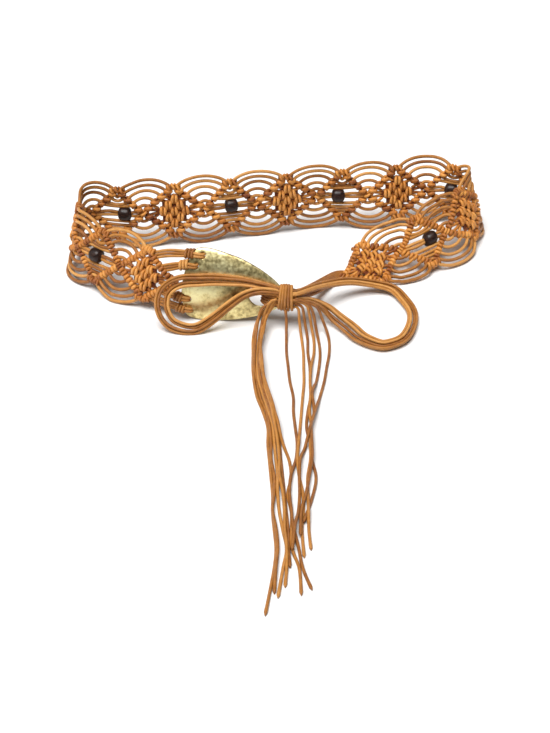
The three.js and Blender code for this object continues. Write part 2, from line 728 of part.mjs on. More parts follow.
// The cords from the band's end to the knot. Some pass behind the plate's tip, through its hole
// and back to the knot's other end.
function neckGeometry() {
  const start = onBand(BAND_LENGTH + RIDGE / 2 + 1.5 * CORD, 0, 0);
  const end = knotMiddle.clone().addScaledVector(sideways, knotEnd);
  end.addScaledVector(forwards, -KNOT_DEPTH / 2 - CORD);
  const near = end.clone().lerp(start, 0.25);
  const few = { width: 2.4 * CORD, depth: 1.5 * CORD, steps: 2, facing: plateFrame.up };
  const hole = plateTip - 0.24 * BUCKLE_LENGTH;
  const behind = onPlate(hole + 4 * CORD, 0, plateBack - 2 * CORD);
  const through = onPlate(hole - CORD, -CORD, plateFront + CORD);
  const front = knotMiddle.clone()
    .addScaledVector(plateFrame.along, -knotEnd - CORD)
    .addScaledVector(plateFrame.up, -KNOT_HEIGHT / 5);
  return toGeometry(join([
    rod(start, end, { width: BUNDLE_WIDTH, depth: BUNDLE_DEPTH, steps: 4, facing: upwards }),
    rod(near, behind, few),
    rod(behind, through, few),
    rod(through, front, few),
  ].map(toSolid)));
}

const END_STEPS = 5;
function tieEndSolid({ out, across, tip }) {
  const radius = CORD / 2;
  const lying = radius + CLEARANCE / 3;
  const curve = new THREE.CatmullRomCurve3([
    fromKnot([out, -CORD, knotMiddle.z - KNOT_HEIGHT / 2 - CLEARANCE - CORD]),
    ...across.map((x, i) => fromKnot([x, -END_START - i * END_STEP, lying + (END_LANDING[i] ?? 0)])),
    fromKnot([tip[0], -tip[1], lying]),
  ], false, 'centripetal');
  const ring = new THREE.Shape(new THREE.EllipseCurve(0, 0, radius, radius).getPoints(6).slice(0, -1));
  return toSolid(new THREE.ExtrudeGeometry(ring, { steps: END_STEPS, extrudePath: curve }));
}

// The twelve ends and the gathered cords under the knot that they come out of
function tieEndsGeometry() {
  const gather = new THREE.BoxGeometry(KNOT_LENGTH + 2 * CORD, 2 * CORD, 2 * CORD);
  gather.translate(...fromKnot([0, -CORD, knotMiddle.z - KNOT_HEIGHT / 2 - CLEARANCE - CORD]));
  return toGeometry(join([toSolid(gather), ...TIE_ENDS.map(tieEndSolid)]));
}

const belt = new THREE.Group();
function piece(name, geometry, material) {
  const mesh = new THREE.Mesh(geometry, material);
  mesh.name = name;
  belt.add(mesh);
}

piece('band', bandGeometry(), MATERIALS.cord);
beadDiamonds.forEach((i, n) => piece(`bead_${n + 1}`, closed(atBead(beadGeometry(), i)), MATERIALS.bead));
piece('buckle_plate', plateGeometry(), MATERIALS.brass);
lacings.forEach((lacing, n) => piece(`lacing_${n + 1}`, lacingGeometry(lacing), MATERIALS.cord));
piece('tie_neck', neckGeometry(), MATERIALS.cord);
piece('tie_knot', knotGeometry(), MATERIALS.cord);

// The origin is under the middle of all that stands, without the loose tie cords
belt.updateMatrixWorld(true);
const standing = new THREE.Box3().setFromObject(belt, true);
const centre = standing.getCenter(new THREE.Vector3());

piece('bow_left', loopGeometry(LEFT_LOOP, BOW_LEFT_ENDS, plateFrame.out), MATERIALS.cord);
piece('bow_right', loopGeometry(RIGHT_LOOP, BOW_RIGHT_ENDS, upwards), MATERIALS.cord);
piece('tie_ends', tieEndsGeometry(), MATERIALS.cord);

belt.position.set(-centre.x, -centre.y, 0);
const group = new THREE.Group();
group.add(belt);

export default group;
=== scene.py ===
# A macrame rope belt of waxed cord, tied shut round a brass plate and standing on its edge.
# Sizes are in millimetres in the belt's own measures, and MM turns them into metres. Along the
# band a place is (u, v, w): u along it from the plate, v up across it, w out through it.
import random
from math import cos, exp, hypot, pi, radians, sin, sqrt
import bpy
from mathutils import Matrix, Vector
from mathutils.geometry import delaunay_2d_cdt


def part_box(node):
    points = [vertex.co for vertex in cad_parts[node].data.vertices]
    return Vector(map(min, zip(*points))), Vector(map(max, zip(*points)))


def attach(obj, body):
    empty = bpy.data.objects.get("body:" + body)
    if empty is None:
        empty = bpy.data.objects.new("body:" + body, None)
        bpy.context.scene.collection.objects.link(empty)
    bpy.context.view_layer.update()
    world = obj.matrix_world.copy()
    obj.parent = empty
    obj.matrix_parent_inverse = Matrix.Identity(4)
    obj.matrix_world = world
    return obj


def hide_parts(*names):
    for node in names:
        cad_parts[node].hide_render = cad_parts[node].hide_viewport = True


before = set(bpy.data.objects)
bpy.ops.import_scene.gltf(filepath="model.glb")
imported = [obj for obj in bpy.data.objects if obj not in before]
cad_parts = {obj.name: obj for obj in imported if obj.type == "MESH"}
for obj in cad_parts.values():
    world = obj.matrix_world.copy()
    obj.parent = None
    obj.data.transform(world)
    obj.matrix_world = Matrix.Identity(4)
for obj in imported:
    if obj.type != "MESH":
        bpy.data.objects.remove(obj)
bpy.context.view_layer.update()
MM = 0.001

# Camera: the photograph's frame, its focal length in pixels, and where it looks
PHOTO_HEIGHT = 733
FOCAL_PX = 1615.0
CAMERA_ELEVATION = 38.8
CAMERA_DISTANCE = 1050.0
AIM = (-3.2, -112.6, 0.0)
SENSOR = 36.0

# The belt's sizes
CORD = 2.0
KNOTTED_RUN = 44.5
BEAD_RUN = 36.5
DIAMOND_HEIGHT = 39.5
SCALLOP_RISE = 6.0
RIDGE = 4.2
FLAT_DEPTH = 0.25
BEAD_DIAMETER = 10.0
BEAD_LENGTH = 9.6
BEAD_BORE = 3.0
BEAD_LIP = 0.25
APEX = DIAMOND_HEIGHT / 2 - RIDGE / 2  # from the band's middle to a ridge's corner
REACH = DIAMOND_HEIGHT / 2 + SCALLOP_RISE  # from the band's middle to the outer scallop's crest

# One row for each diamond: has it a bead, heading at its middle and far crossing, lean there
START = (178, 4)
COURSE = [
    (False, 147, 146, 28), (True, 146, 138, 18), (False, 82, 22, -4), (True, -7, 20, -14),
    (False, 5, 14, -13), (True, 11, 6, -9), (False, 13, 9, -4), (True, 2, 3, -13),
    (False, 14, 6, -24), (True, -13, -72, 14), (False, -124, -160, 46),
    (True, -152, -174, 65), (False, -151, -172, 88),
]
# How far each bead has slid along its cords, by its row and as a share of its diamond's run
SLID = {1: 0.055, 3: 0.14, 5: 0.01, 7: -0.075, 9: -0.015, 11: -0.14}
STRAIGHT = 0.45  # the share of a diamond's run where the course doesn't bend

BUCKLE_LENGTH = 73.0
BUCKLE_HEIGHT = 49.4
BUCKLE_THICKNESS = 1.8
BUCKLE_DOME = 5.0
BUCKLE_GAP = 5.0
BUCKLE_LEAN = 20
BUCKLE_DIP = 8
LACING_HOLE = 3.9
TIE_HOLE_LENGTH = 19.0
TIE_HOLE_HEIGHT = 16.0
TIE_HOLE_AT = 0.16
PLATE = [
    (-0.452, 0.00), (-0.445, 0.30), (-0.420, 0.62), (-0.375, 0.92), (-0.300, 1.00),
    (-0.190, 0.99), (-0.080, 0.94), (0.030, 0.88), (0.140, 0.78), (0.250, 0.65),
    (0.360, 0.48), (0.450, 0.29), (0.520, 0.11), (0.548, 0.00),
]
TIE_HOLE = [
    (0.00, 0.00), (0.06, 0.48), (0.22, 0.86), (0.42, 1.00), (0.64, 0.86), (0.84, 0.56),
    (0.97, 0.28), (1.00, 0.00),
]
# Height on the plate, place on the first diamond's ridge, and margin from the plate's edge
LACINGS = [(0.80, 0.92, 6.4), (0.50, 0.46, 5.6), (-0.44, 0.46, 4.0), (-0.76, 0.92, 4.0)]

KNOT_LENGTH = 12.0
KNOT_HEIGHT = 19.0
KNOT_DEPTH = 9.5
CLEARANCE = 0.3

# The bow's routes: x and y from the knot's middle, z from the surface
LEFT_LOOP = [
    (-3, 1.5, 26.5), (-8, 2.6, 28), (-18, 4.6, 29.6), (-28, 6.4, 30.8), (-39, 7.2, 31.4),
    (-49, 7.5, 31.8), (-59, 7.4, 31.4), (-69, 7, 30.9), (-76.8, 5.3, 28.2), (-81.8, 2.3, 23),
    (-82.4, -2.7, 15), (-77.5, -7.5, 7.5), (-68, -10, 4.2), (-59, -9.5, 4.4), (-49, -6.5, 9.8),
    (-39, -2.5, 17), (-28, 0.3, 24.3), (-18, 1.2, 27.0), (-8, 1.2, 26.2), (-3, 0.5, 25),
]
RIGHT_LOOP = [
    (1, 0, 25.5), (6.5, 0, 25.6), (16, 9.5, 22.6), (27, 22, 17), (43, 32.5, 12), (60, 37, 6.5),
    (73, 34.5, 4.2), (80.5, 23.5, 3), (85, 10.5, 2.6), (84, -3.5, 2.6), (78, -18, 2.6),
    (69, -24.5, 2.6), (61, -25.5, 2.6), (49.5, -18, 2.6), (42, -8, 3.2), (34, 0.5, 5),
    (26, 5.5, 10), (17, 4, 16.5), (8, -1, 21.4), (2, -1, 22),
]
# The twelve ends: how far right of the knot each is at END_START in front of it and then at every
# END_STEP, and its tip, right and in front of the knot
END_START = 17
END_STEP = 15
TIE_ENDS = [
    ([-22, -22, -22, -21, -19, -15, -12, -12, -11, -10, -9, -9, -8, -7, -8, -10], (-13, 263)),
    ([-20, -21, -21, -19, -17, -13, -11, -10, -10, -8, -8, -9, -7, -6, -7], (-8, 247)),
    ([-18, -19, -19, -18, -15, -12, -9, -8, -7, -6, -6, -5, -3, -1, -3], (-6, 250)),
    ([-17, -18, -18, -17, -14, -11, -8, -5, -4, -3, -2, -1, 0, 0], (1, 227)),
    ([-16, -17, -17, -15, -13, -10, -8, -6, -5, -5, -3, -2, -2, -1, -1], (-2, 242)),
    ([-15, -17, -16, -15, -12, -9, -6, -3, 1, 2, 0, 2, 2, 2, 6], (7, 248)),
    ([0, 0, 1, 2, 4, 4, 5, 6, 5, 2, 1, 2, 3, 6, 8], (13, 244)),
    ([10, 11, 11, 11, 10, 9, 8, 7, 6, 7, 9, 9, 8], (9, 219)),
    ([14, 14, 15, 15, 15, 13, 12, 14, 15, 17, 15], (9, 192)),
    ([18, 18, 16, 15, 15, 14, 15, 14, 14, 12, 12, 12, 12], (13, 213)),
    ([21, 22, 21, 19, 16, 17, 15, 15, 15, 13, 11, 8], (7, 203)),
    ([28, 28, 26, 24, 21, 18, 15, 12, 8, 7, 7, 6, 4], (2, 216)),
]

rng = random.Random(7)


# The band's course in plan
RUNS = [BEAD_RUN if row[0] else KNOTTED_RUN for row in COURSE]
CROSSINGS = [sum(RUNS[:i]) for i in range(len(RUNS) + 1)]
MIDDLES = [CROSSINGS[i] + run / 2 for i, run in enumerate(RUNS)]
BAND_LENGTH = CROSSINGS[-1]
BEADS_AT = {i: MIDDLES[i] + slid * RUNS[i] for i, slid in SLID.items()}
COURSE_STEP = 0.5


def value_at(keys, u):
    if u <= keys[0][0]:
        return keys[0][1]
    for (u0, a), (u1, b) in zip(keys, keys[1:]):
        if u <= u1:
            return a + (b - a) * (u - u0) / (u1 - u0)
    return keys[-1][1]


def turning_keys():
    keys = [(0, START[0])]
    for i, (_, middle, far, _) in enumerate(COURSE):
        hold = RUNS[i] * STRAIGHT / 2
        keys += [(MIDDLES[i] - hold, middle), (MIDDLES[i] + hold, middle), (CROSSINGS[i + 1], far)]
    return keys


HEADINGS = turning_keys()
LEANS = list(zip(CROSSINGS, [START[1]] + [row[3] for row in COURSE]))


def walk_course():
    trail = [(0.0, 0.0)]
    u = 0.0
    while u < BAND_LENGTH:
        heading = radians(value_at(HEADINGS, u + COURSE_STEP / 2))
        x, y = trail[-1]
        trail.append((x + COURSE_STEP * cos(heading), y + COURSE_STEP * sin(heading)))
        u += COURSE_STEP
    return trail


TRAIL = walk_course()


def raw_on_band(u, v, w):
    i = min(max(int(u // COURSE_STEP), 0), len(TRAIL) - 1)
    heading = radians(value_at(HEADINGS, u))
    lean = radians(value_at(LEANS, u))
    rest = u - i * COURSE_STEP
    inward = v * sin(lean) - w * cos(lean)
    middle = REACH * cos(lean) + RIDGE / 2 * abs(sin(lean)) - FLAT_DEPTH
    return Vector((
        TRAIL[i][0] + rest * cos(heading) + inward * sin(heading),
        TRAIL[i][1] + rest * sin(heading) - inward * cos(heading),
        middle + v * cos(lean) + w * sin(lean),
    ))


# The part's origin, seen from the band's first crossing: the first bead says where it is
BEAD_LOW, BEAD_HIGH = (Vector(corner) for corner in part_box("bead_1"))
ORIGIN = raw_on_band(BEADS_AT[1], 0, 0) - (BEAD_LOW + BEAD_HIGH) / 2 / MM
ORIGIN.z = 0


def on_band(u, v, w):
    return raw_on_band(u, v, w) - ORIGIN


# The plate: a along it towards its tip, b up across it, w out of its front
PLATE_HEADING = radians(START[0] - 180)
PLATE_HALF = [(a * BUCKLE_LENGTH, h * BUCKLE_HEIGHT / 2) for a, h in PLATE]


def plate_axes():
    lean, dip = radians(BUCKLE_LEAN), radians(BUCKLE_DIP)
    run = Vector((cos(PLATE_HEADING), sin(PLATE_HEADING), 0))
    inward = Vector((-sin(PLATE_HEADING), cos(PLATE_HEADING), 0))
    rise = inward * sin(lean) + Vector((0, 0, cos(lean)))
    along = run * cos(dip) - rise * sin(dip)
    up = rise * cos(dip) + run * sin(dip)
    return along, up, run.cross(rise)


PLATE_ALONG, PLATE_UP, PLATE_OUT = plate_axes()
DOME_RADIUS = ((BUCKLE_HEIGHT / 2) ** 2 + BUCKLE_DOME ** 2) / (2 * BUCKLE_DOME)


def dome_at(b):
    return sqrt(DOME_RADIUS ** 2 - b ** 2) - (DOME_RADIUS - BUCKLE_DOME)


def from_plate(a, b, w):
    return PLATE_ALONG * a + PLATE_UP * b + PLATE_OUT * w


def plate_middle():
    lowest = min(
        from_plate(a, side * h, dome_at(h) + face * BUCKLE_THICKNESS / 2).z
        for a, h in PLATE_HALF for side in (-1, 1) for face in (-1, 1)
    )
    reach = BUCKLE_GAP - PLATE_HALF[0][0]
    start = Vector((cos(PLATE_HEADING), sin(PLATE_HEADING), 0)) * reach
    return start + Vector((0, 0, -lowest)) - ORIGIN


PLATE_MIDDLE = plate_middle()
PLATE_TIP = PLATE[-1][0] * BUCKLE_LENGTH
PLATE_FRONT = dome_at(0) + BUCKLE_THICKNESS / 2 + CLEARANCE
PLATE_BACK = dome_at(0) - BUCKLE_THICKNESS / 2 - CLEARANCE


def on_plate(a, b, w):
    return PLATE_MIDDLE + from_plate(a, b, w)


KNOT = on_plate(PLATE_TIP - KNOT_LENGTH / 4, KNOT_HEIGHT / 8, PLATE_FRONT + KNOT_DEPTH / 2)


def from_knot(x, y, z):
    return Vector((KNOT.x + x, KNOT.y + y, z))


# Curves
ROUTE_STEPS = 12
OUTLINE_STEPS = 10


def spline(p0, p1, p2, p3, steps):
    """Points of a smooth curve from p1 to before p2, where p0 and p3 are their neighbours."""
    points = []
    for k in range(steps):
        t = k / steps
        points.append(0.5 * (
            2 * p1 + (p2 - p0) * t + (2 * p0 - 5 * p1 + 4 * p2 - p3) * t ** 2
            + (3 * p1 - p0 - 3 * p2 + p3) * t ** 3
        ))
    return points


def smooth(points, count):
    """Points at even spacing on a smooth curve through the given points."""
    pts = [Vector(p) for p in points]
    pts = [pts[0] * 2 - pts[1]] + pts + [pts[-1] * 2 - pts[-2]]
    dense = []
    for row in zip(pts, pts[1:], pts[2:], pts[3:]):
        dense += spline(*row, ROUTE_STEPS)
    dense.append(pts[-2])
    return even(dense, count)


def lengths_of(points):
    total = [0.0]
    for a, b in zip(points, points[1:]):
        total.append(total[-1] + (b - a).length)
    return total


def even(points, count):
    total = lengths_of(points)
    out = []
    k = 0
    for i in range(count):
        s = total[-1] * i / (count - 1)
        while k < len(points) - 2 and total[k + 1] < s:
            k += 1
        span = total[k + 1] - total[k]
        share = (s - total[k]) / span if span > 0 else 0
        out.append(points[k].lerp(points[k + 1], min(max(share, 0), 1)))
    return out


def hump(share, middle, half_width):
    return exp(-((share - middle) / half_width) ** 2)


def ease(t):
    t = min(max(t, 0.0), 1.0)
    return t * t * (3 - 2 * t)


# Meshes: a builder gathers tubes with a shade for each and a UV map that runs along them
class Builder:
    def __init__(self, name):
        self.name = name
        self.verts = []
        self.faces = []
        self.uvs = []
        self.shades = []

    def tube(self, points, radius, sides=8, shade=None, normals=None, flat=1.0, closed=False):
        """A round or flattened tube along points in millimetres. radius is a number, or a list
        with one for each point, and flat is how thin it is towards its normals."""
        count = len(points)
        total = lengths_of(points)
        length = total[-1] or 1.0
        tangents = []
        for i in range(count):
            a = points[i - 1] if closed or i else points[0]
            b = points[(i + 1) % count] if closed or i < count - 1 else points[-1]
            tangents.append((b - a).normalized())
        normal = normals[0] if normals else tangents[0].orthogonal()
        first = len(self.verts)
        shade = rng.random() if shade is None else shade
        for i, point in enumerate(points):
            tangent = tangents[i]
            if normals:
                normal = normals[i]
            normal = normal - tangent * normal.dot(tangent)
            normal = normal.normalized() if normal.length > 1e-6 else tangent.orthogonal().normalized()
            across = tangent.cross(normal)
            r = radius[i] if isinstance(radius, list) else radius
            for k in range(sides):
                angle = 2 * pi * k / sides
                out = normal * (cos(angle) * flat) + across * sin(angle)
                self.verts.append((point + out * r) * MM)
                self.shades.append(shade)
        rings = count if closed else count - 1
        for i in range(rings):
            a, b = first + i * sides, first + ((i + 1) % count) * sides
            u0, u1 = total[i] / CORD, (total[i + 1] if i + 1 < count else length + CORD) / CORD
            for k in range(sides):
                n = (k + 1) % sides
                self.faces.append((a + k, a + n, b + n, b + k))
                v0, v1 = k / sides, (k + 1) / sides
                self.uvs += [(u0, v0), (u0, v1), (u1, v1), (u1, v0)]
        if not closed:
            last = first + (count - 1) * sides
            for ring, flip, u in ((first, True, 0.0), (last, False, length / CORD)):
                cap = list(range(ring, ring + sides))
                self.faces.append(tuple(reversed(cap)) if flip else tuple(cap))
                self.uvs += [(u, 0.5)] * sides

    def finish(self, material, slot, *nodes):
        mesh = new_mesh(self.name, self.verts, self.faces, material)
        layer = mesh.uv_layers.new(name="UVMap")
        layer.data.foreach_set("uv", [c for uv in self.uvs for c in uv])
        shade = mesh.attributes.new("shade", "FLOAT", "POINT")
        shade.data.foreach_set("value", self.shades)
        mesh.shade_smooth()
        return place(self.name, mesh, slot, *nodes)


def new_mesh(name, verts, faces, material):
    mesh = bpy.data.meshes.new(name)
    mesh.from_pydata([tuple(v) for v in verts], [], faces)
    mesh.materials.append(material)
    return mesh


def new_object(name, data):
    made = bpy.data.objects.new(name, data)
    bpy.context.scene.collection.objects.link(made)
    return made


def place(name, mesh, slot, *nodes):
    piece = new_object(name, mesh)
    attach(piece, "root")
    if nodes:
        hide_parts(*nodes)
    return piece


# Materials
PLY = 3  # strands twisted in a cord
TWIST = 1.1  # turns of the twist in one cord's width


def node(tree, kind, **values):
    made = tree.nodes.new(kind)
    for key, value in values.items():
        setattr(made, key, value)
    return made


def new_material(name):
    material = bpy.data.materials.new(name)
    material.use_nodes = True
    shader = material.node_tree.nodes["Principled BSDF"]
    return material, material.node_tree, shader


def set_inputs(shader, values):
    for name, value in values.items():
        shader.inputs[name].default_value = value


def ramp(tree, source, stops):
    """Stops are (position, colour), the first and last of them before any in between."""
    made = node(tree, "ShaderNodeValToRGB")
    elements = made.color_ramp.elements
    for i, (position, color) in enumerate(stops):
        element = elements[i] if i < 2 else elements.new(position)
        element.position = position
        element.color = (*color, 1)
    tree.links.new(source, made.inputs[0])
    return made.outputs[0]


def multiply_colors(tree, a, b):
    """The mix node's sockets for colours are its inputs 6 and 7 and its output 2."""
    made = node(tree, "ShaderNodeMix", data_type="RGBA", blend_type="MULTIPLY")
    made.inputs[0].default_value = 1.0
    tree.links.new(a, made.inputs[6])
    tree.links.new(b, made.inputs[7])
    return made.outputs[2]


def calc(tree, operation, a, b=None):
    made = node(tree, "ShaderNodeMath", operation=operation)
    for socket, value in ((made.inputs[0], a), (made.inputs[1], b)):
        if isinstance(value, bpy.types.NodeSocket):
            tree.links.new(value, socket)
        elif value is not None:
            socket.default_value = value
    return made.outputs[0]


def blend(tree, first, second):
    """The sum of two values, each given with its share."""
    return calc(tree, "ADD", calc(tree, "MULTIPLY", *first), calc(tree, "MULTIPLY", *second))


def noise(tree, scale, detail, vector=None):
    made = node(tree, "ShaderNodeTexNoise")
    set_inputs(made, {"Scale": scale, "Detail": detail})
    source = vector or node(tree, "ShaderNodeTexCoord").outputs["Object"]
    tree.links.new(source, made.inputs["Vector"])
    return made.outputs["Fac"]


def bump(tree, shader, height, distance):
    made = node(tree, "ShaderNodeBump")
    set_inputs(made, {"Distance": distance})
    tree.links.new(height, made.inputs["Height"])
    tree.links.new(made.outputs[0], shader.inputs["Normal"])


def cord_material(name, dark, middle, light):
    """Waxed twisted cotton: plies that wind round the cord, with painted shade darkening the grooves
    between them, and a shade for each strand: a random tone, or a low one set as painted shade for cords
    that lie under others.
    """
    material, tree, shader = new_material(name)
    uv = node(tree, "ShaderNodeUVMap", uv_map="UVMap")
    apart = node(tree, "ShaderNodeSeparateXYZ")
    tree.links.new(uv.outputs[0], apart.inputs[0])
    along = calc(tree, "MULTIPLY", apart.outputs[0], TWIST)
    turn = calc(tree, "ADD", along, apart.outputs[1])
    phase = calc(tree, "MULTIPLY", turn, 2 * pi * PLY)
    wave = calc(tree, "ABSOLUTE", calc(tree, "SINE", calc(tree, "MULTIPLY", phase, 0.5)))
    shade = node(tree, "ShaderNodeAttribute", attribute_name="shade").outputs["Fac"]
    blotch = noise(tree, scale=260.0, detail=3.0)
    tone = blend(tree, (shade, 0.55), (blotch, 0.45))
    base = ramp(tree, tone, [(0.15, dark), (0.85, light), (0.5, middle)])
    # Painted shade: the colour is darkened in the grooves between the plies.
    ply_groove_shade = ramp(tree, wave, [(0.0, (0.42, 0.28, 0.20)), (0.5, (1, 1, 1))])
    tree.links.new(multiply_colors(tree, base, ply_groove_shade), shader.inputs["Base Color"])
    set_inputs(shader, {
        "Roughness": 0.42, "Specular IOR Level": 0.42, "Coat Weight": 0.22, "Coat Roughness": 0.3,
    })
    fibre = noise(tree, scale=2600.0, detail=2.0)
    bump(tree, shader, calc(tree, "ADD", wave, calc(tree, "MULTIPLY", fibre, 0.25)), 0.22 * MM)
    return material


def bead_material():
    material, tree, shader = new_material("dark_wood")
    stretch = node(tree, "ShaderNodeMapping")
    set_inputs(stretch, {"Scale": (1, 1, 5)})
    tree.links.new(node(tree, "ShaderNodeTexCoord").outputs["Object"], stretch.inputs["Vector"])
    grain = noise(tree, scale=420.0, detail=4.0, vector=stretch.outputs[0])
    color = ramp(tree, grain, [(0.35, (0.006, 0.004, 0.004)), (0.7, (0.045, 0.020, 0.014))])
    tree.links.new(color, shader.inputs["Base Color"])
    set_inputs(shader, {
        "Roughness": 0.3, "Specular IOR Level": 0.22, "Coat Weight": 0.04, "Coat Roughness": 0.1,
    })
    bump(tree, shader, grain, 0.08 * MM)
    return material


def brass_material():
    material, tree, shader = new_material("antique_brass")
    large = noise(tree, scale=60.0, detail=5.0)
    fine = noise(tree, scale=420.0, detail=4.0)
    both = blend(tree, (large, 0.6), (fine, 0.4))
    color = ramp(tree, both, [
        (0.38, (0.34, 0.26, 0.11)), (0.60, (1.0, 0.91, 0.50)), (0.49, (0.76, 0.64, 0.30)),
    ])
    tree.links.new(color, shader.inputs["Base Color"])
    set_inputs(shader, {"Metallic": 1.0})
    rough = ramp(tree, fine, [(0.3, (0.28, 0.28, 0.28)), (0.7, (0.42, 0.42, 0.42))])
    tree.links.new(rough, shader.inputs["Roughness"])
    bump(tree, shader, both, 0.18 * MM)
    return material


CORD_OUTER = cord_material(
    "cord_waxed", dark=(0.26, 0.078, 0.009), middle=(0.57, 0.238, 0.042), light=(0.82, 0.410, 0.112),
)
CORD_RIDGE = cord_material(
    "cord_golden", dark=(0.20, 0.040, 0.004), middle=(0.62, 0.225, 0.028), light=(0.84, 0.385, 0.082),
)
BEAD_WOOD = bead_material()
BRASS = brass_material()


# The camera
FARTHEST_SEEN = 20.0  # metres


def make_camera():
    data = bpy.data.cameras.new("camera")
    data.sensor_width = SENSOR
    data.sensor_fit = "AUTO"
    data.lens = FOCAL_PX / PHOTO_HEIGHT * SENSOR
    data.clip_end = FARTHEST_SEEN
    camera = new_object("camera", data)
    angle = radians(CAMERA_ELEVATION)
    back = Vector((0, -cos(angle), sin(angle)))
    camera.location = (Vector(AIM) + back * CAMERA_DISTANCE) * MM
    camera.rotation_euler = back.to_track_quat("Z", "Y").to_euler()
    bpy.context.scene.camera = camera


make_camera()


# The twelve loose ends
END_RADIUS = CORD / 2
END_GAP = CORD * 1.02
END_POINTS = 110
END_SIDES = 10
MIDDLE_ENDS = 5  # an end that starts within this of the knot's middle leaves it in front
FIRST_RIGHT = 7  # the first of the ends that leave it on the right
HUMP_SPREAD = 3  # how many points a hump over another end rises before and after it
TIP_SWELL = 0.12
TIP_AT = 0.985  # where along an end its tip is thickest
TIP_START = 0.992  # where its rounded tip starts


def end_route(index):
    """From inside the knot by one of three ways out of it, down to the surface, and to the tip."""
    across, (tip_x, tip_y) = TIE_ENDS[index]
    first = across[0]
    left = first < -MIDDLE_ENDS
    if left:
        start = [(-6.3, -2.2, 18.2 - 0.9 * index), (0.55 * first, -2.6, 12 - 0.7 * index)]
    elif first > MIDDLE_ENDS:
        start = [(5.6, -3.0, 17.5 - 0.5 * (index - FIRST_RIGHT)), (0.50 * first + 3, -4.2, 12)]
    else:
        start = [(-0.5, -KNOT_DEPTH / 2 + 0.5, 15.5), (-0.4, -KNOT_DEPTH / 2 - 1.5, 9)]
    start += [(0.86 * first, -6 if left else -7, 4.6)]
    lying = [(x, -END_START - i * END_STEP, END_RADIUS) for i, x in enumerate(across)]
    return [from_knot(*p) for p in start + lying + [(tip_x, -tip_y, END_RADIUS)]]


def height_over(p, laid):
    """How high an end has to lie at p to clear the ends laid before it."""
    need = p.z
    for other in laid:
        for q in other:
            gap = hypot(p.x - q.x, p.y - q.y)
            if gap < END_GAP and abs(p.z - q.z) < 3 * CORD:
                need = max(need, q.z + sqrt(END_GAP ** 2 - gap ** 2))
    return need


def long_humps(heights):
    """Heights that never go under the given ones, and rise and fall slowly."""
    count = len(heights)
    eased = [
        max(
            heights[j] - (abs(j - i) / (HUMP_SPREAD + 1)) ** 2 * CORD
            for j in range(max(0, i - HUMP_SPREAD), min(count, i + HUMP_SPREAD + 1))
        )
        for i in range(count)
    ]
    for _ in range(2):
        near = [eased[max(0, i - 1):i + 2] for i in range(count)]
        eased = [max(heights[i], sum(near[i]) / len(near[i])) for i in range(count)]
    return eased


def lay_ends():
    """Each end lies on the surface or on the ends laid before it."""
    laid = []
    for index in range(len(TIE_ENDS)):
        route = smooth(end_route(index), END_POINTS)
        heights = long_humps([height_over(p, laid) for p in route])
        laid.append([Vector((p.x, p.y, z)) for p, z in zip(route, heights)])
    return laid


def free_cord(name, points, node_name, radius=CORD / 2):
    """One loose cord that starts at the knot."""
    builder = Builder(name)
    builder.tube(points, radius, sides=END_SIDES)
    piece = builder.finish(CORD_OUTER, "cord", node_name)


def end_radius(share):
    """The last few millimetres of a cut end are melted to a slightly thicker tip."""
    close = max(0.0, (share - TIP_START) / (1 - TIP_START))
    swollen = END_RADIUS * (1 + TIP_SWELL * hump(share, TIP_AT, 0.012))
    return swollen * sqrt(max(0.05, 1 - close ** 2))


for number, points in enumerate(lay_ends()):
    radii = [end_radius(k / (len(points) - 1)) for k in range(len(points))]
    free_cord(f"end_{number + 1}", points, "tie_ends", radii)


# The two loops of the bow, and where each of a loop's six cords lies in its bundle: across it and
# through it, in cords
LOOP_STRANDS = [(-1.5, 0.1), (-0.75, -0.5), (-0.55, 0.5), (0.45, 0.0), (1.15, -0.45), (1.5, 0.45)]
LOOP_NARROW = 0.55  # a bundle's width at the knot, as a share of its strands' spread
# For each loop: its route, where its bundle faces, how much wider it is away from the knot, and
# its humps of more width and of a gap between its halves, each (height, middle, half width)
LOOPS = {
    "left": (
        LEFT_LOOP, PLATE_OUT, 0.45,
        [(0.5, 0.5, 0.13)], [(0.8, 0.28, 0.2), (0.45, 0.5, 0.12), (0.15, 0.8, 0.1)],
    ),
    "right": (
        RIGHT_LOOP, Vector((0, 0, 1)), 0.55,
        [(1.15, 0.80, 0.14)], [(0.3, 0.2, 0.15), (0.15, 0.5, 0.2)],
    ),
}
LOOP_POINTS = 96
STRAND_SPREAD = CORD * 0.86
STRAND_DEPTH = CORD * 0.95
SWAY = 0.14  # how far a strand sways, in cords
SWAY_WAVES = 2.65  # on the length of a loop
SWAY_SHIFT = 1.9  # from one strand to the next, in radians


def humps(share, rows):
    return sum(height * hump(share, middle, half_width) for height, middle, half_width in rows)


def loop_strands(route, facing, fullness, widenings, gaps):
    """Six routes side by side along one, in a bundle of two halves of three."""
    middle = smooth([from_knot(*p) for p in route], LOOP_POINTS)
    strands = []
    for number, (across, through) in enumerate(LOOP_STRANDS):
        points = []
        for i, p in enumerate(middle):
            a = middle[max(i - 1, 0)]
            b = middle[min(i + 1, len(middle) - 1)]
            tangent = (b - a).normalized()
            side = facing.cross(tangent).normalized()
            out = side.cross(tangent).normalized()
            share = i / (len(middle) - 1)
            wide = LOOP_NARROW + fullness * sin(pi * share) ** 0.6 + humps(share, widenings)
            sway = SWAY * sin(2 * pi * SWAY_WAVES * share + number * SWAY_SHIFT)
            offset = across * wide + sway + (0.5 if number > 2 else -0.5) * humps(share, gaps)
            depth = through / max(1.0, 0.6 * wide)
            q = p + side * (offset * STRAND_SPREAD) - out * (depth * STRAND_DEPTH)
            points.append(Vector((q.x, q.y, max(q.z, CORD / 2 + 0.05))))
        strands.append(points)
    return strands


for side_name, loop in LOOPS.items():
    for number, points in enumerate(loop_strands(*loop)):
        free_cord(f"bow_{side_name}_{number + 1}", points, f"bow_{side_name}")


# The band's cords. A line in the band is given by (u, v, w) points and then bent to the course.
def bent(points):
    return [on_band(*p) for p in points]


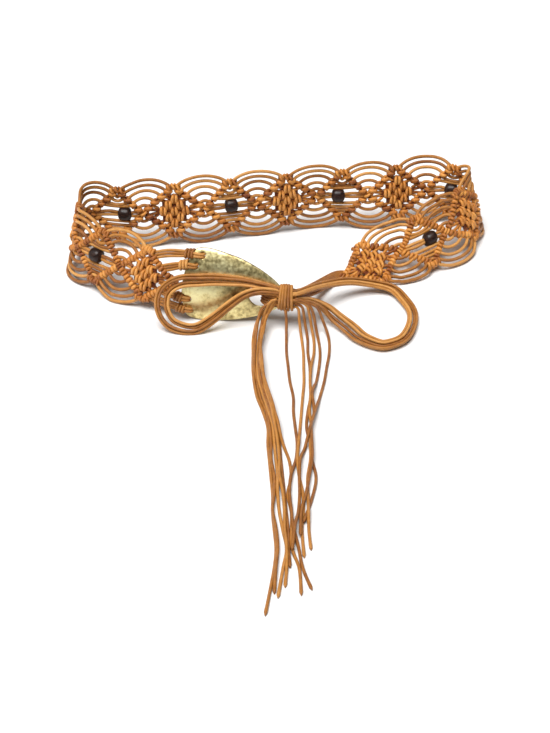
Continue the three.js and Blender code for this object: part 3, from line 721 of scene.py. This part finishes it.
def ridge_line(i, far, side):
    """From the diamond's near or far crossing to its top or bottom corner, in (u, v)."""
    crossing = CROSSINGS[i + 1] if far else CROSSINGS[i]
    return (crossing, 0.0), (MIDDLES[i], side * APEX)


def at_ridge(i, far, side, share):
    (u0, v0), (u1, v1) = ridge_line(i, far, side)
    return u0 + (u1 - u0) * share, v0 + (v1 - v0) * share


BAND_RADIUS = CORD * 0.59  # of a loose cord in the band, swollen between knots
CORE_RADIUS = CORD * 0.42  # of the cord that a ridge's hitches go round
CORE_PAINTED_SHADE = -0.4  # darker than any shade drawn at random: painted shade for the cores under the hitches and the cords under the knots' bars, seen in the gaps between them
HITCHES = 4  # double half hitches on one ridge
RIDGE_END = 2.0  # how far from a ridge's ends its hitches stay
WRAP_THICK = 1.12  # a wrap's half thickness, squeezed against the core
WRAP_WIDE = 0.455  # its half width, as a share of the step between wraps
WRAP_STANDS = 0.45  # how far the wraps stand out past the solid's ridge
WRAP_RING = RIDGE / 2 + WRAP_STANDS - WRAP_THICK
WRAP_STEPS = 22
# Where a hitch starts on its way round the core, and how far it goes, in half turns
WRAP_FROM = -0.66
WRAP_SWEEP = 3.32
# The three hitches over a diamond's top and bottom corners: along the band, and further out
CORNER_HITCHES = [(-3.4, -0.5), (0, 0.3), (3.4, -0.5)]
CORNER_STEP = 2.1
CORNER_RING = WRAP_RING * 1.1
CROSSING_STEP = 1.9
CROSSING_RING = WRAP_RING * 1.12


def hitch(builder, middle, direction, step, shade, ring):
    """A double half hitch: two wraps, a step apart on the outer face, which cross to each other on
    the inner one. middle is its (u, v), and direction the unit (u, v) along its core."""
    du, dv = direction
    turn = 1 if du * dv >= 0 else -1
    half_wide = step * WRAP_WIDE
    points, normals = [], []
    for k in range(WRAP_STEPS + 1):
        turned = WRAP_FROM + WRAP_SWEEP * k / WRAP_STEPS
        angle = pi * turned
        inner = max(0.0, -cos(angle)) if 0.4 < turned < 1.6 else 0.0
        shift = step * (ease((turned - 0.55) / 0.9) - 0.5)
        reach = ring * (1 + 0.24 * inner)
        across, out = reach * sin(angle) * turn, reach * cos(angle)
        u, v = middle[0] + du * shift, middle[1] + dv * shift
        points.append(on_band(u - dv * across, v + du * across, out))
        normals.append(points[-1] - on_band(u, v, 0))
    wide = [
        half_wide * (1.12 if abs(2 * k / WRAP_STEPS - 1) < 0.3 else 1) for k in range(WRAP_STEPS + 1)
    ]
    builder.tube(points, wide, shade=shade, normals=normals, flat=WRAP_THICK / half_wide)


def make_ridge(builder, start, end):
    """A ridge from one (u, v) to another: a core, and the hitches round it."""
    du, dv = end[0] - start[0], end[1] - start[1]
    length = hypot(du, dv)
    direction = (du / length, dv / length)
    half_way = ((start[0] + end[0]) / 2, (start[1] + end[1]) / 2, 0)
    core = bent([(*start, 0), half_way, (*end, 0)])
    # The core is painted darker, as shade in the gaps between its wraps.
    builder.tube(core, CORE_RADIUS, sides=6, shade=CORE_PAINTED_SHADE)
    step = (length - 2 * RIDGE_END) / HITCHES
    for k in range(HITCHES):
        s = RIDGE_END + step * (k + 0.5) + rng.uniform(-0.12, 0.12)
        middle = (start[0] + direction[0] * s, start[1] + direction[1] * s)
        hitch(builder, middle, direction, step / 2, rng.random(), WRAP_RING * rng.uniform(0.96, 1.06))


def make_ridges():
    builder = Builder("band_ridges")
    for i in range(len(COURSE)):
        for far in (False, True):
            for side in (1, -1):
                make_ridge(builder, *ridge_line(i, far, side))
        for side in (1, -1):
            for shift, rise in CORNER_HITCHES:
                at = (MIDDLES[i] + shift, side * (APEX + rise))
                hitch(builder, at, (1, 0), CORNER_STEP, rng.random(), CORNER_RING)
    slope = APEX / (KNOTTED_RUN / 2)
    length = hypot(1, slope)
    for n, u in enumerate(CROSSINGS):
        direction = (1 / length, (1 if n % 2 else -1) * slope / length)
        hitch(builder, (u, 0), direction, CROSSING_STEP, rng.random(), CROSSING_RING)
    builder.finish(CORD_RIDGE, "cord", "band")


# The cords that arch over the crossings: the share of the ridge they leave, and their crest's
# share of REACH
ARCHES = [(0.20, 0.23), (0.40, 0.44), (0.60, 0.65), (0.79, 0.81), (0.94, 0.96)]
ARCH_FULLNESS = 0.7
ARCH_STEPS = 22


def bowed(u0, u1, side, ends, crest, fullness, out, lean, places):
    """A cord from u0 to u1 that starts and stops at one height and bows to another between them."""
    points = []
    for x in places:
        rise = max(0.0, 1 - x * x)
        v = ends + (crest - ends) * rise ** fullness
        points.append((u0 + (u1 - u0) * (x + 1) / 2 + lean * rise, side * v, out * rise))
    return bent(points)


def arch(n, side, leaves, crest):
    """From a share of one ridge over the crossing to the same share of the next."""
    u0 = CROSSINGS[n] - leaves * RUNS[n - 1] / 2
    u1 = CROSSINGS[n] + leaves * RUNS[n] / 2
    top = crest * REACH * rng.uniform(0.985, 1.0)
    out, lean = rng.uniform(-0.5, 0.5), rng.uniform(-0.25, 0.25)
    places = [-cos(pi * k / ARCH_STEPS) for k in range(ARCH_STEPS + 1)]
    line = bowed(u0, u1, side, leaves * APEX, top, ARCH_FULLNESS, out, lean, places)
    return even(line, ARCH_STEPS)


def make_scallops():
    builder = Builder("band_scallops")
    for n in range(1, len(RUNS)):
        for side in (1, -1):
            for leaves, crest in ARCHES:
                builder.tube(arch(n, side, leaves, crest), BAND_RADIUS)
    builder.finish(CORD_OUTER, "cord", "band")


# Inside a bead's diamond the cords hang slack from ridge to ridge, past the bead: the share of
# the ridge they leave, and their middle's share of its height, over the bead and under it
SLACK = {
    1: [(0.90, 0.72), (0.72, 0.53), (0.54, 0.39), (0.38, 0.32)],
    -1: [(0.30, 0.335), (0.48, 0.49), (0.66, 0.645), (0.84, 0.79)],
}
SLACK_FULLNESS = 0.9
SLACK_STEPS = 14


def slack_cord(i, side, leaves, middle):
    u0, _ = at_ridge(i, False, side, leaves)
    u1, _ = at_ridge(i, True, side, leaves)
    hang = middle * APEX * rng.uniform(0.97, 1.05)
    out = rng.uniform(-0.6, 0.6)
    places = [2 * k / SLACK_STEPS - 1 for k in range(SLACK_STEPS + 1)]
    return bowed(u0, u1, side, leaves * APEX, hang, SLACK_FULLNESS, out, 0, places)


def make_bead_cords():
    """The slack cords, and the two that go into the bead from each crossing."""
    builder = Builder("band_bead_cords")
    for i, at in BEADS_AT.items():
        for side in (1, -1):
            for leaves, middle in SLACK[side]:
                builder.tube(slack_cord(i, side, leaves, middle), BAND_RADIUS)
        for side in (1, -1):
            for near, u_end in ((CROSSINGS[i], -1), (CROSSINGS[i + 1], 1)):
                points = [
                    (near, side * 0.9, 0), ((near + at) / 2, side * 1.35, 0.25),
                    (at + u_end * BEAD_LENGTH * 0.44, side * 0.85, 0),
                ]
                builder.tube(smooth(bent(points), 9), BAND_RADIUS)
    builder.finish(CORD_OUTER, "cord", "band")


# Inside a knotted diamond: nine square knots, one, two, three, two and one, and the cords
# between them. A knot's place is (u, v) from the diamond's middle.
OUTER_KNOTS = {
    "left": (-8.0, 0.1), "right": (8.0, -0.1), "top": (0.2, 8.9), "bottom": (-0.2, -8.9),
}
INNER_KNOTS = [(0, 0.1), (-4.1, 4.5), (-4.0, -4.7), (4.0, 4.7), (4.1, -4.5)]
KNOT_BARS = (-1.45, 1.45)
BAR_HALF = 2.7
BAR_BULGE = 2.3
BAR_RADIUS = CORD * 0.6
BAR_STEPS = 12
KNOT_LOOP_RADIUS = CORD * 0.46
KNOT_LANES = (-1.5, 0.0, 1.5)
LANE_HALF = 4.4


def square_knot(builder, u, v):
    """Two bars across the run on each face, over a flat bundle of cords that runs through, and
    the loops that join them at its two edges."""
    shade = rng.random()
    radii = [
        BAR_RADIUS * (0.80 + 0.24 * sin(pi * k / BAR_STEPS)) for k in range(BAR_STEPS + 1)
    ]
    # Painted light: the bars, raised on top, take the lighter half of the shades.
    for bar in KNOT_BARS:
        slant = rng.uniform(-0.5, 0.5)
        for face in (1, -1):
            points = []
            for k in range(BAR_STEPS + 1):
                x = -1 + 2 * k / BAR_STEPS
                bulge = BAR_BULGE * max(0.0, 1 - x ** 4) ** 0.6
                points.append((u + bar * (1 - 0.12 * abs(x)) + slant * x, v + BAR_HALF * x, face * bulge))
            builder.tube(bent(points), radii, shade=0.5 + 0.5 * shade)
    # Painted shade: the loops, tucked down at the bars' ends, take a darker shade.
    for side in (1, -1):
        for face in (1, -1):
            points = [
                (u + KNOT_BARS[0], v + side * (BAR_HALF - 0.5), face * 0.9),
                (u, v + side * (BAR_HALF + 0.25), face * 0.5),
                (u + KNOT_BARS[1], v + side * (BAR_HALF - 0.5), face * 0.9),
            ]
            builder.tube(smooth(bent(points), 9), KNOT_LOOP_RADIUS, sides=7, shade=shade * 0.5)
    # The bundle's cords run under the bars and are painted darker, as shade.
    for lane in KNOT_LANES:
        wide, narrow = v + lane * 1.15, v + lane * 0.8
        points = [(u - LANE_HALF, wide, 0), (u, narrow, 0), (u + LANE_HALF, wide, 0)]
        builder.tube(bent(points), CORD / 2, sides=6, shade=CORE_PAINTED_SHADE)


# The cords from a ridge to the knots beside it: the share of the ridge, the knot, and the place at
# that knot, u away from the diamond's middle and v away from the band's
RIDGE_LINKS = [
    (0.13, "beside", 3.4, 0.9), (0.29, "beside", 3.2, 2.4), (0.48, "above", 3.4, -2.4),
    (0.66, "above", 3.2, 0.3), (0.84, "above", 2.9, 2.6),
]
# The two cords across a diamond's middle, from one side knot to the other, in (u, v)
MIDDLE_LINKS = [((-4.6, 1.2), (4.6, -0.6)), ((-4.6, -1.3), (4.6, 1.5))]


def filling_links(i):
    """The cords between a diamond's ridges and knots, each from one (u, v) to another."""
    middle = MIDDLES[i]
    links = []
    for far, away in ((False, -1), (True, 1)):
        beside = OUTER_KNOTS["right" if far else "left"]
        for side in (1, -1):
            knots = {"beside": beside, "above": OUTER_KNOTS["top" if side > 0 else "bottom"]}
            for share, which, along, up in RIDGE_LINKS:
                u, v = knots[which]
                links.append((
                    at_ridge(i, far, side, share), (middle + u + away * along, v + side * up),
                ))
            inner = middle + beside[0] - away * 2.6
            u, v = knots["above"]
            links.append(((inner, side * 2.6), (middle + u + away * 2.2, v - side * 2.4)))
            links.append(((inner, side * 0.9), (middle - away * 1.6, side * 3.6)))
    links += [((middle + u0, v0), (middle + u1, v1)) for (u0, v0), (u1, v1) in MIDDLE_LINKS]
    return links


def make_fillings():
    builder = Builder("band_fillings")
    for i, (bead, *_) in enumerate(COURSE):
        if bead:
            continue
        for u, v in [*OUTER_KNOTS.values(), *INNER_KNOTS]:
            square_knot(builder, MIDDLES[i] + u, v)
        for start, stop in filling_links(i):
            half_way = (
                (start[0] + stop[0]) / 2, (start[1] + stop[1]) / 2, rng.uniform(-0.9, 0.9),
            )
            line = smooth(bent([(*start, 0), half_way, (*stop, 0.2)]), 7)
            builder.tube(line, BAND_RADIUS * 0.95, sides=7)
    builder.finish(CORD_RIDGE, "cord", "band")


make_ridges()
make_scallops()
make_bead_cords()
make_fillings()


# The beads
BEAD_RINGS = 22
BEAD_SIDES = 32
BEAD_MOUTH = 0.90  # how far out the bore's ends are, as a share of the half length


def bead_profile():
    """Places along a bead's axis and the radius there, from the bore's one end to its other."""
    bore, half = BEAD_BORE / 2, BEAD_LENGTH / 2
    profile = [(-BEAD_MOUTH * half, bore)]
    for k in range(BEAD_RINGS + 1):
        x = -cos(pi * k / BEAD_RINGS)
        r = BEAD_DIAMETER / 2 * (1 - abs(x) ** 3.4) ** (1 / 2.9)
        profile.append((x * half, max(r, bore + BEAD_LIP)))
    return profile + [(BEAD_MOUTH * half, bore)]


def make_bead(name, at):
    profile = bead_profile()
    verts, faces = [], []
    for x, r in profile:
        for k in range(BEAD_SIDES):
            angle = 2 * pi * k / BEAD_SIDES
            verts.append(on_band(at + x, r * sin(angle), r * cos(angle)) * MM)
    for j in range(len(profile) - 1):
        ring, following = j * BEAD_SIDES, (j + 1) * BEAD_SIDES
        for k in range(BEAD_SIDES):
            n = (k + 1) % BEAD_SIDES
            faces.append((ring + k, ring + n, following + n, following + k))
    last = (len(profile) - 1) * BEAD_SIDES
    faces.append(tuple(range(BEAD_SIDES)))
    faces.append(tuple(reversed(range(last, last + BEAD_SIDES))))
    mesh = new_mesh(name, verts, faces, BEAD_WOOD)
    mesh.flip_normals()
    mesh.shade_smooth()
    place(f"{name}_round", mesh, "bead", name)


for number, at in enumerate(BEADS_AT.values()):
    make_bead(f"bead_{number + 1}", at)


# The plate
def closed_curve(half, count):
    """Evenly spaced points of a closed outline, given one half of it from end to end."""
    whole = half + [(a, -h) for a, h in reversed(half[1:-1])]
    loop = [Vector((a, h, 0)) for a, h in whole]
    dense = []
    for k in range(len(loop)):
        dense += spline(*(loop[(k + d) % len(loop)] for d in (-1, 0, 1, 2)), OUTLINE_STEPS)
    return even(dense + [dense[0]], count + 1)[:-1]


def inset(loop, distance):
    """The outline moved to its inner side, on the left of a counter-clockwise loop."""
    n = len(loop)
    out = []
    for k in range(n):
        tangent = (loop[(k + 1) % n] - loop[k - 1]).normalized()
        out.append(loop[k] + Vector((-tangent.y, tangent.x, 0)) * distance)
    return out


def inside(point, loop):
    result = False
    for a, b in zip(loop, loop[1:] + loop[:1]):
        if (a.y > point.y) != (b.y > point.y):
            if point.x < a.x + (b.x - a.x) * (point.y - a.y) / (b.y - a.y):
                result = not result
    return result


def lacing_places():
    """For each lacing the plate's edge beside it, its hole, its share of the ridge and its side."""
    places = []
    for height, ridge, margin in LACINGS:
        b = height * BUCKLE_HEIGHT / 2
        k = next(j for j, (_, h) in enumerate(PLATE_HALF) if h >= abs(b))
        (a0, h0), (a1, h1) = PLATE_HALF[k - 1], PLATE_HALF[k]
        edge = a0 + (a1 - a0) * (abs(b) - h0) / (h1 - h0)
        places.append((edge, edge + margin, b, ridge, 1 if height > 0 else -1))
    return places


RIM = 0.55  # how far the plate's edges are rounded
RIM_STEPS = 3
PLATE_GRID = 1.9
GRID_MARGIN = 1.0  # from the rounded edges to the grid's nearest points
OUTLINE_POINTS = 150
TIE_HOLE_POINTS = 44
LACING_HOLE_POINTS = 20


def plate_loops():
    """The outline counter-clockwise and the holes clockwise, so that the metal is on their left."""
    outline = closed_curve(PLATE_HALF, OUTLINE_POINTS)
    start = TIE_HOLE_AT * BUCKLE_LENGTH
    half = [(start + a * TIE_HOLE_LENGTH, h * TIE_HOLE_HEIGHT / 2) for a, h in TIE_HOLE]
    loops = [list(reversed(outline)), closed_curve(half, TIE_HOLE_POINTS)]
    for _, a, b, _, _ in lacing_places():
        loops.append([
            Vector((a + LACING_HOLE / 2 * cos(t), b - LACING_HOLE / 2 * sin(t), 0))
            for t in (2 * pi * k / LACING_HOLE_POINTS for k in range(LACING_HOLE_POINTS))
        ])
    return loops


def in_metal(point, loops):
    return inside(point, loops[0]) and not any(inside(point, hole) for hole in loops[1:])


def grid_points(loops):
    """Staggered points over the metal that the loops bound."""
    points = []
    a = -BUCKLE_LENGTH
    while a < BUCKLE_LENGTH:
        b = -BUCKLE_HEIGHT
        while b < BUCKLE_HEIGHT:
            p = Vector((a, b + (PLATE_GRID / 2 if round(a / PLATE_GRID) % 2 else 0), 0))
            if in_metal(p, loops):
                points.append(p)
            b += PLATE_GRID
        a += PLATE_GRID
    return points


def plate_sheet(loops):
    """Flat points and triangles of the metal inside its rounded edges, with the edges first."""
    fill = [inset(loop, RIM) for loop in loops]
    edges, first = [], 0
    for loop in fill:
        n = len(loop)
        edges += [(first + k, first + (k + 1) % n) for k in range(n)]
        first += n
    points = [p for loop in fill for p in loop]
    points += grid_points([inset(loop, RIM + GRID_MARGIN) for loop in loops])
    flat_points, _, triangles, *_ = delaunay_2d_cdt([p.xy for p in points], edges, [], 0, 1e-4)
    kept = []
    for tri in triangles:
        middle = sum((Vector((*flat_points[k], 0)) for k in tri), Vector()) / len(tri)
        if in_metal(middle, fill):
            kept.append(tuple(tri))
    return flat_points, kept


def rim_profile(half):
    """How far in from the edge and out from the sheet's middle the rounded edge goes."""
    upper = []
    for k in range(1, RIM_STEPS + 1):
        t = pi / 2 * k / RIM_STEPS
        upper.append((RIM * (1 - sin(t)), half - RIM * (1 - cos(t))))
    return upper + [(d, -w) for d, w in reversed(upper)]


def make_plate():
    loops = plate_loops()
    sheet, triangles = plate_sheet(loops)
    half = BUCKLE_THICKNESS / 2
    verts = [on_plate(x, y, dome_at(y) + face * half) for face in (1, -1) for x, y in sheet]
    back = len(sheet)
    faces = triangles + [tuple(back + k for k in reversed(tri)) for tri in triangles]
    first = 0
    for loop in loops:
        n = len(loop)
        rings = [[first + k for k in range(n)]]
        for d, w in rim_profile(half):
            rings.append(list(range(len(verts), len(verts) + n)))
            verts += [on_plate(p.x, p.y, dome_at(p.y) + w) for p in inset(loop, d)]
        rings.append([back + first + k for k in range(n)])
        for upper, lower in zip(rings, rings[1:]):
            for k in range(n):
                m = (k + 1) % n
                faces.append((upper[m], upper[k], lower[k], lower[m]))
        first += n
    mesh = new_mesh("plate", [v * MM for v in verts], faces, BRASS)
    mesh.shade_smooth()
    place("plate", mesh, "brass", "buckle_plate")


make_plate()


# The lacings: cords folded through a hole and round the plate's edge, wrapped beside the plate,
# and leading to the first diamond
LACING_RADIUS = CORD / 2 * 0.97
LANE = 1.05  # how far a folded cord is to the side of its hole's middle
COIL_TURNS = 3.1
COIL_STEPS = 16  # in one turn
COIL_WIDE = 2.7
COIL_DEEP = 3.0
COIL_LENGTH = 5.2
COIL_OVERLAP = 1.6
LEAD_SPREAD = 1.9
LEAD_SHARE = 0.075  # how far apart on the ridge, as a share of it, the three leads end
NEAR_CORNER = 0.6  # past this share of the ridge they end to one side of the lacing's place


def coil(builder, start, end, facing):
    """Wraps round the line from start to end."""
    axis = (end - start).normalized()
    side = facing.cross(axis).normalized()
    out = axis.cross(side).normalized()
    steps = int(COIL_STEPS * COIL_TURNS)
    points, normals = [], []
    for k in range(steps + 1):
        angle = 2 * pi * COIL_TURNS * k / steps + pi
        across, outwards = sin(angle), cos(angle)
        middle = start.lerp(end, k / steps)
        points.append(middle + side * (COIL_WIDE * across) + out * (COIL_DEEP * outwards))
        normals.append(side * (COIL_DEEP * across) + out * (COIL_WIDE * outwards))
    builder.tube(points, CORD / 2, normals=normals)


def make_lacing(number, edge, a, b, ridge, side):
    builder = Builder(f"lacing_{number}_cords")
    dome = dome_at(b)
    half = BUCKLE_THICKNESS / 2 + CORD / 2
    wrapped = edge - 3.0
    for lane in (-LANE, LANE):
        fold = [
            (wrapped, b + lane, dome + 0.6), (edge + 0.4, b + lane, dome + half + 0.2),
            (a - 0.5, b + lane * 0.85, dome + half), (a + 0.9, b + lane * 0.7, dome - 0.2),
            (a - 0.5, b + lane * 0.85, dome - half - 0.1), (edge + 0.4, b + lane, dome - half - 0.2),
            (wrapped, b + lane, dome - 0.6),
        ]
        builder.tube(smooth([on_plate(*p) for p in fold], 26), CORD / 2)
    near = on_plate(edge - 0.6, b, dome)
    run = RUNS[0] / 2
    seat = on_band(ridge * run, side * ridge * APEX, 0)
    coil_end = near.lerp(seat, COIL_LENGTH / (seat - near).length)
    coil(builder, near + (near - coil_end).normalized() * COIL_OVERLAP, coil_end, PLATE_OUT)
    seated = 0 if ridge > NEAR_CORNER else 1
    for k in range(3):
        share = ridge + LEAD_SHARE * (seated - k)
        up = PLATE_UP * (-side * LEAD_SPREAD * (k - 1))
        points = [
            near + up * 0.6, coil_end + up * 0.9, (coil_end + seat) / 2 + up * 1.1,
            on_band(share * run, side * share * APEX, 0),
        ]
        builder.tube(smooth(points, 14), LACING_RADIUS)
    builder.finish(CORD_OUTER, "cord", f"lacing_{number}")


for number, place_on_plate in enumerate(lacing_places()):
    make_lacing(number + 1, *place_on_plate)


# The cords from the band's end to the knot, and those that go through the plate's tie hole
NECK_CORDS = 10
HOLE_CORDS = 4
HOLE_FROM_TIP = 0.24 * BUCKLE_LENGTH
NECK_RADIUS = CORD / 2 * 0.97
NECK_POINTS = 34


def neck_route(k):
    lane = (2 * k + 1 - NECK_CORDS) / (NECK_CORDS - 1)
    layer = 1 if k % 2 else -1
    right_end = KNOT + Vector((KNOT_LENGTH / 2, KNOT_DEPTH / 2, 0))
    second = on_band(BAND_LENGTH + 5, lane * 4.2, layer)
    return [
        on_band(BAND_LENGTH - 4.5 * abs(lane), lane * 3.6, 0),
        second,
        second.lerp(right_end, 0.55) + Vector((0, lane * 2.2 + 1.0, layer - 3.0)),
        right_end + Vector((2.0, lane + 1.0, 1.9 * lane + 0.5 * layer - 1.2)),
        KNOT + Vector((-KNOT_LENGTH / 4, 0.6 * layer, 5.5 * lane)),
    ]


def hole_route(k):
    lane = k - (HOLE_CORDS - 1) / 2
    hole = PLATE_TIP - HOLE_FROM_TIP
    return [
        KNOT + Vector((KNOT_LENGTH / 2 + 3, KNOT_DEPTH / 2 + 2, lane * 1.2)),
        on_plate(hole + 12, lane * 1.6, PLATE_BACK - 2.6),
        on_plate(hole + 3, lane * 1.7 - 0.5, PLATE_BACK - 1.6),
        on_plate(hole - 1.5, lane * 1.9 - 1, PLATE_FRONT - 1.0),
        on_plate(hole + 2.5, lane * 2.0 - 2.5, PLATE_FRONT + 1.8),
        KNOT + PLATE_ALONG * (-KNOT_LENGTH / 2) + PLATE_UP * (-KNOT_HEIGHT / 5 + lane * 2.0),
        KNOT + PLATE_UP * (-KNOT_HEIGHT / 6 + lane * 1.8),
    ]


def make_neck():
    builder = Builder("neck_cords")
    for k in range(NECK_CORDS):
        # Painted shade: the neck's cords lie behind the bow's upper run and get a fixed dark shade.
        builder.tube(smooth(neck_route(k), NECK_POINTS), NECK_RADIUS, shade=0.15)
    for k in range(HOLE_CORDS):
        builder.tube(smooth(hole_route(k), NECK_POINTS), NECK_RADIUS)
    builder.finish(CORD_OUTER, "cord", "tie_neck")


# The knot: where each wrap is along it, at its top and at its bottom, and the cords that fill it
KNOT_WRAPS = [(-4.5, -3.9), (-2.9, -2.0), (-1.3, 0.1), (0.4, 2.5), (2.2, 4.9)]
KNOT_WRAP_RADIUS = CORD / 2 * 1.08
KNOT_WRAP_STEPS = 40
KNOT_ROWS = 5
KNOT_ROW_GAP = 3.0
KNOT_FILL_RADIUS = CORD / 2 * 1.15
KNOT_FILL_HALF = 6.4


def make_knot():
    builder = Builder("knot_cords")
    wide, thick = KNOT_HEIGHT / 2 - CORD / 2, KNOT_DEPTH / 2 - CORD / 2
    for top, bottom in KNOT_WRAPS:
        points, normals = [], []
        for k in range(KNOT_WRAP_STEPS):
            angle = 2 * pi * k / KNOT_WRAP_STEPS
            b, w = wide * cos(angle), thick * sin(angle)
            a = (top + bottom) / 2 - (bottom - top) / 2 * cos(angle)
            shrink = 1 - 0.16 * (a / (KNOT_LENGTH / 2)) ** 2
            points.append(KNOT + from_plate(a, b * shrink, w * shrink))
            normals.append(from_plate(0, b * thick, w * wide))
        builder.tube(points, KNOT_WRAP_RADIUS, sides=9, normals=normals, closed=True)
    # The cords that fill the knot lie under its wraps and get a dark shade as painted shade.
    for row in range(KNOT_ROWS):
        for layer in (-1.2, 1.2):
            b = (row - (KNOT_ROWS - 1) / 2) * KNOT_ROW_GAP
            points = []
            for a in (-KNOT_FILL_HALF, 0, KNOT_FILL_HALF):
                narrowing = 1 - 0.1 * abs(a) / (KNOT_LENGTH / 2)
                points.append(KNOT + from_plate(a, b * narrowing, layer))
            builder.tube(points, KNOT_FILL_RADIUS, sides=7, shade=0.1)
    builder.finish(CORD_OUTER, "cord", "tie_knot")


make_neck()
make_knot()


# The surface it stands on, and the light
FLOOR_HALF = 12.0  # metres
SKY_STRENGTH = 0.12


def make_floor():
    material, _, shader = new_material("paper_white")
    set_inputs(shader, {
        "Base Color": (0.80, 0.798, 0.792, 1), "Roughness": 0.9, "Specular IOR Level": 0.1,
    })
    corners = [(x * FLOOR_HALF, y * FLOOR_HALF, 0) for x, y in ((-1, -1), (1, -1), (1, 1), (-1, 1))]
    floor = new_object("floor", new_mesh("floor", corners, [(0, 1, 2, 3)], material))


def make_light(name, towards, spread, power):
    """A wide soft light from far off, so that the floor is as bright all over."""
    data = bpy.data.lights.new(name, "SUN")
    data.angle = radians(spread)
    data.energy = power
    light = new_object(name, data)
    light.location = Vector(towards)
    light.rotation_euler = Vector(towards).to_track_quat("Z", "Y").to_euler()


def make_sky():
    world = bpy.data.worlds.new("world")
    world.use_nodes = True
    set_inputs(world.node_tree.nodes["Background"], {
        "Color": (1.0, 0.995, 0.98, 1), "Strength": SKY_STRENGTH,
    })
    bpy.context.scene.world = world


make_floor()
make_light("overhead", towards=(-0.25, -0.30, 1.5), spread=42, power=4.35)
make_light("left_fill", towards=(-1.3, -0.2, 0.9), spread=50, power=0.5)
make_sky()
bpy.context.scene.view_settings.view_transform = "Standard"
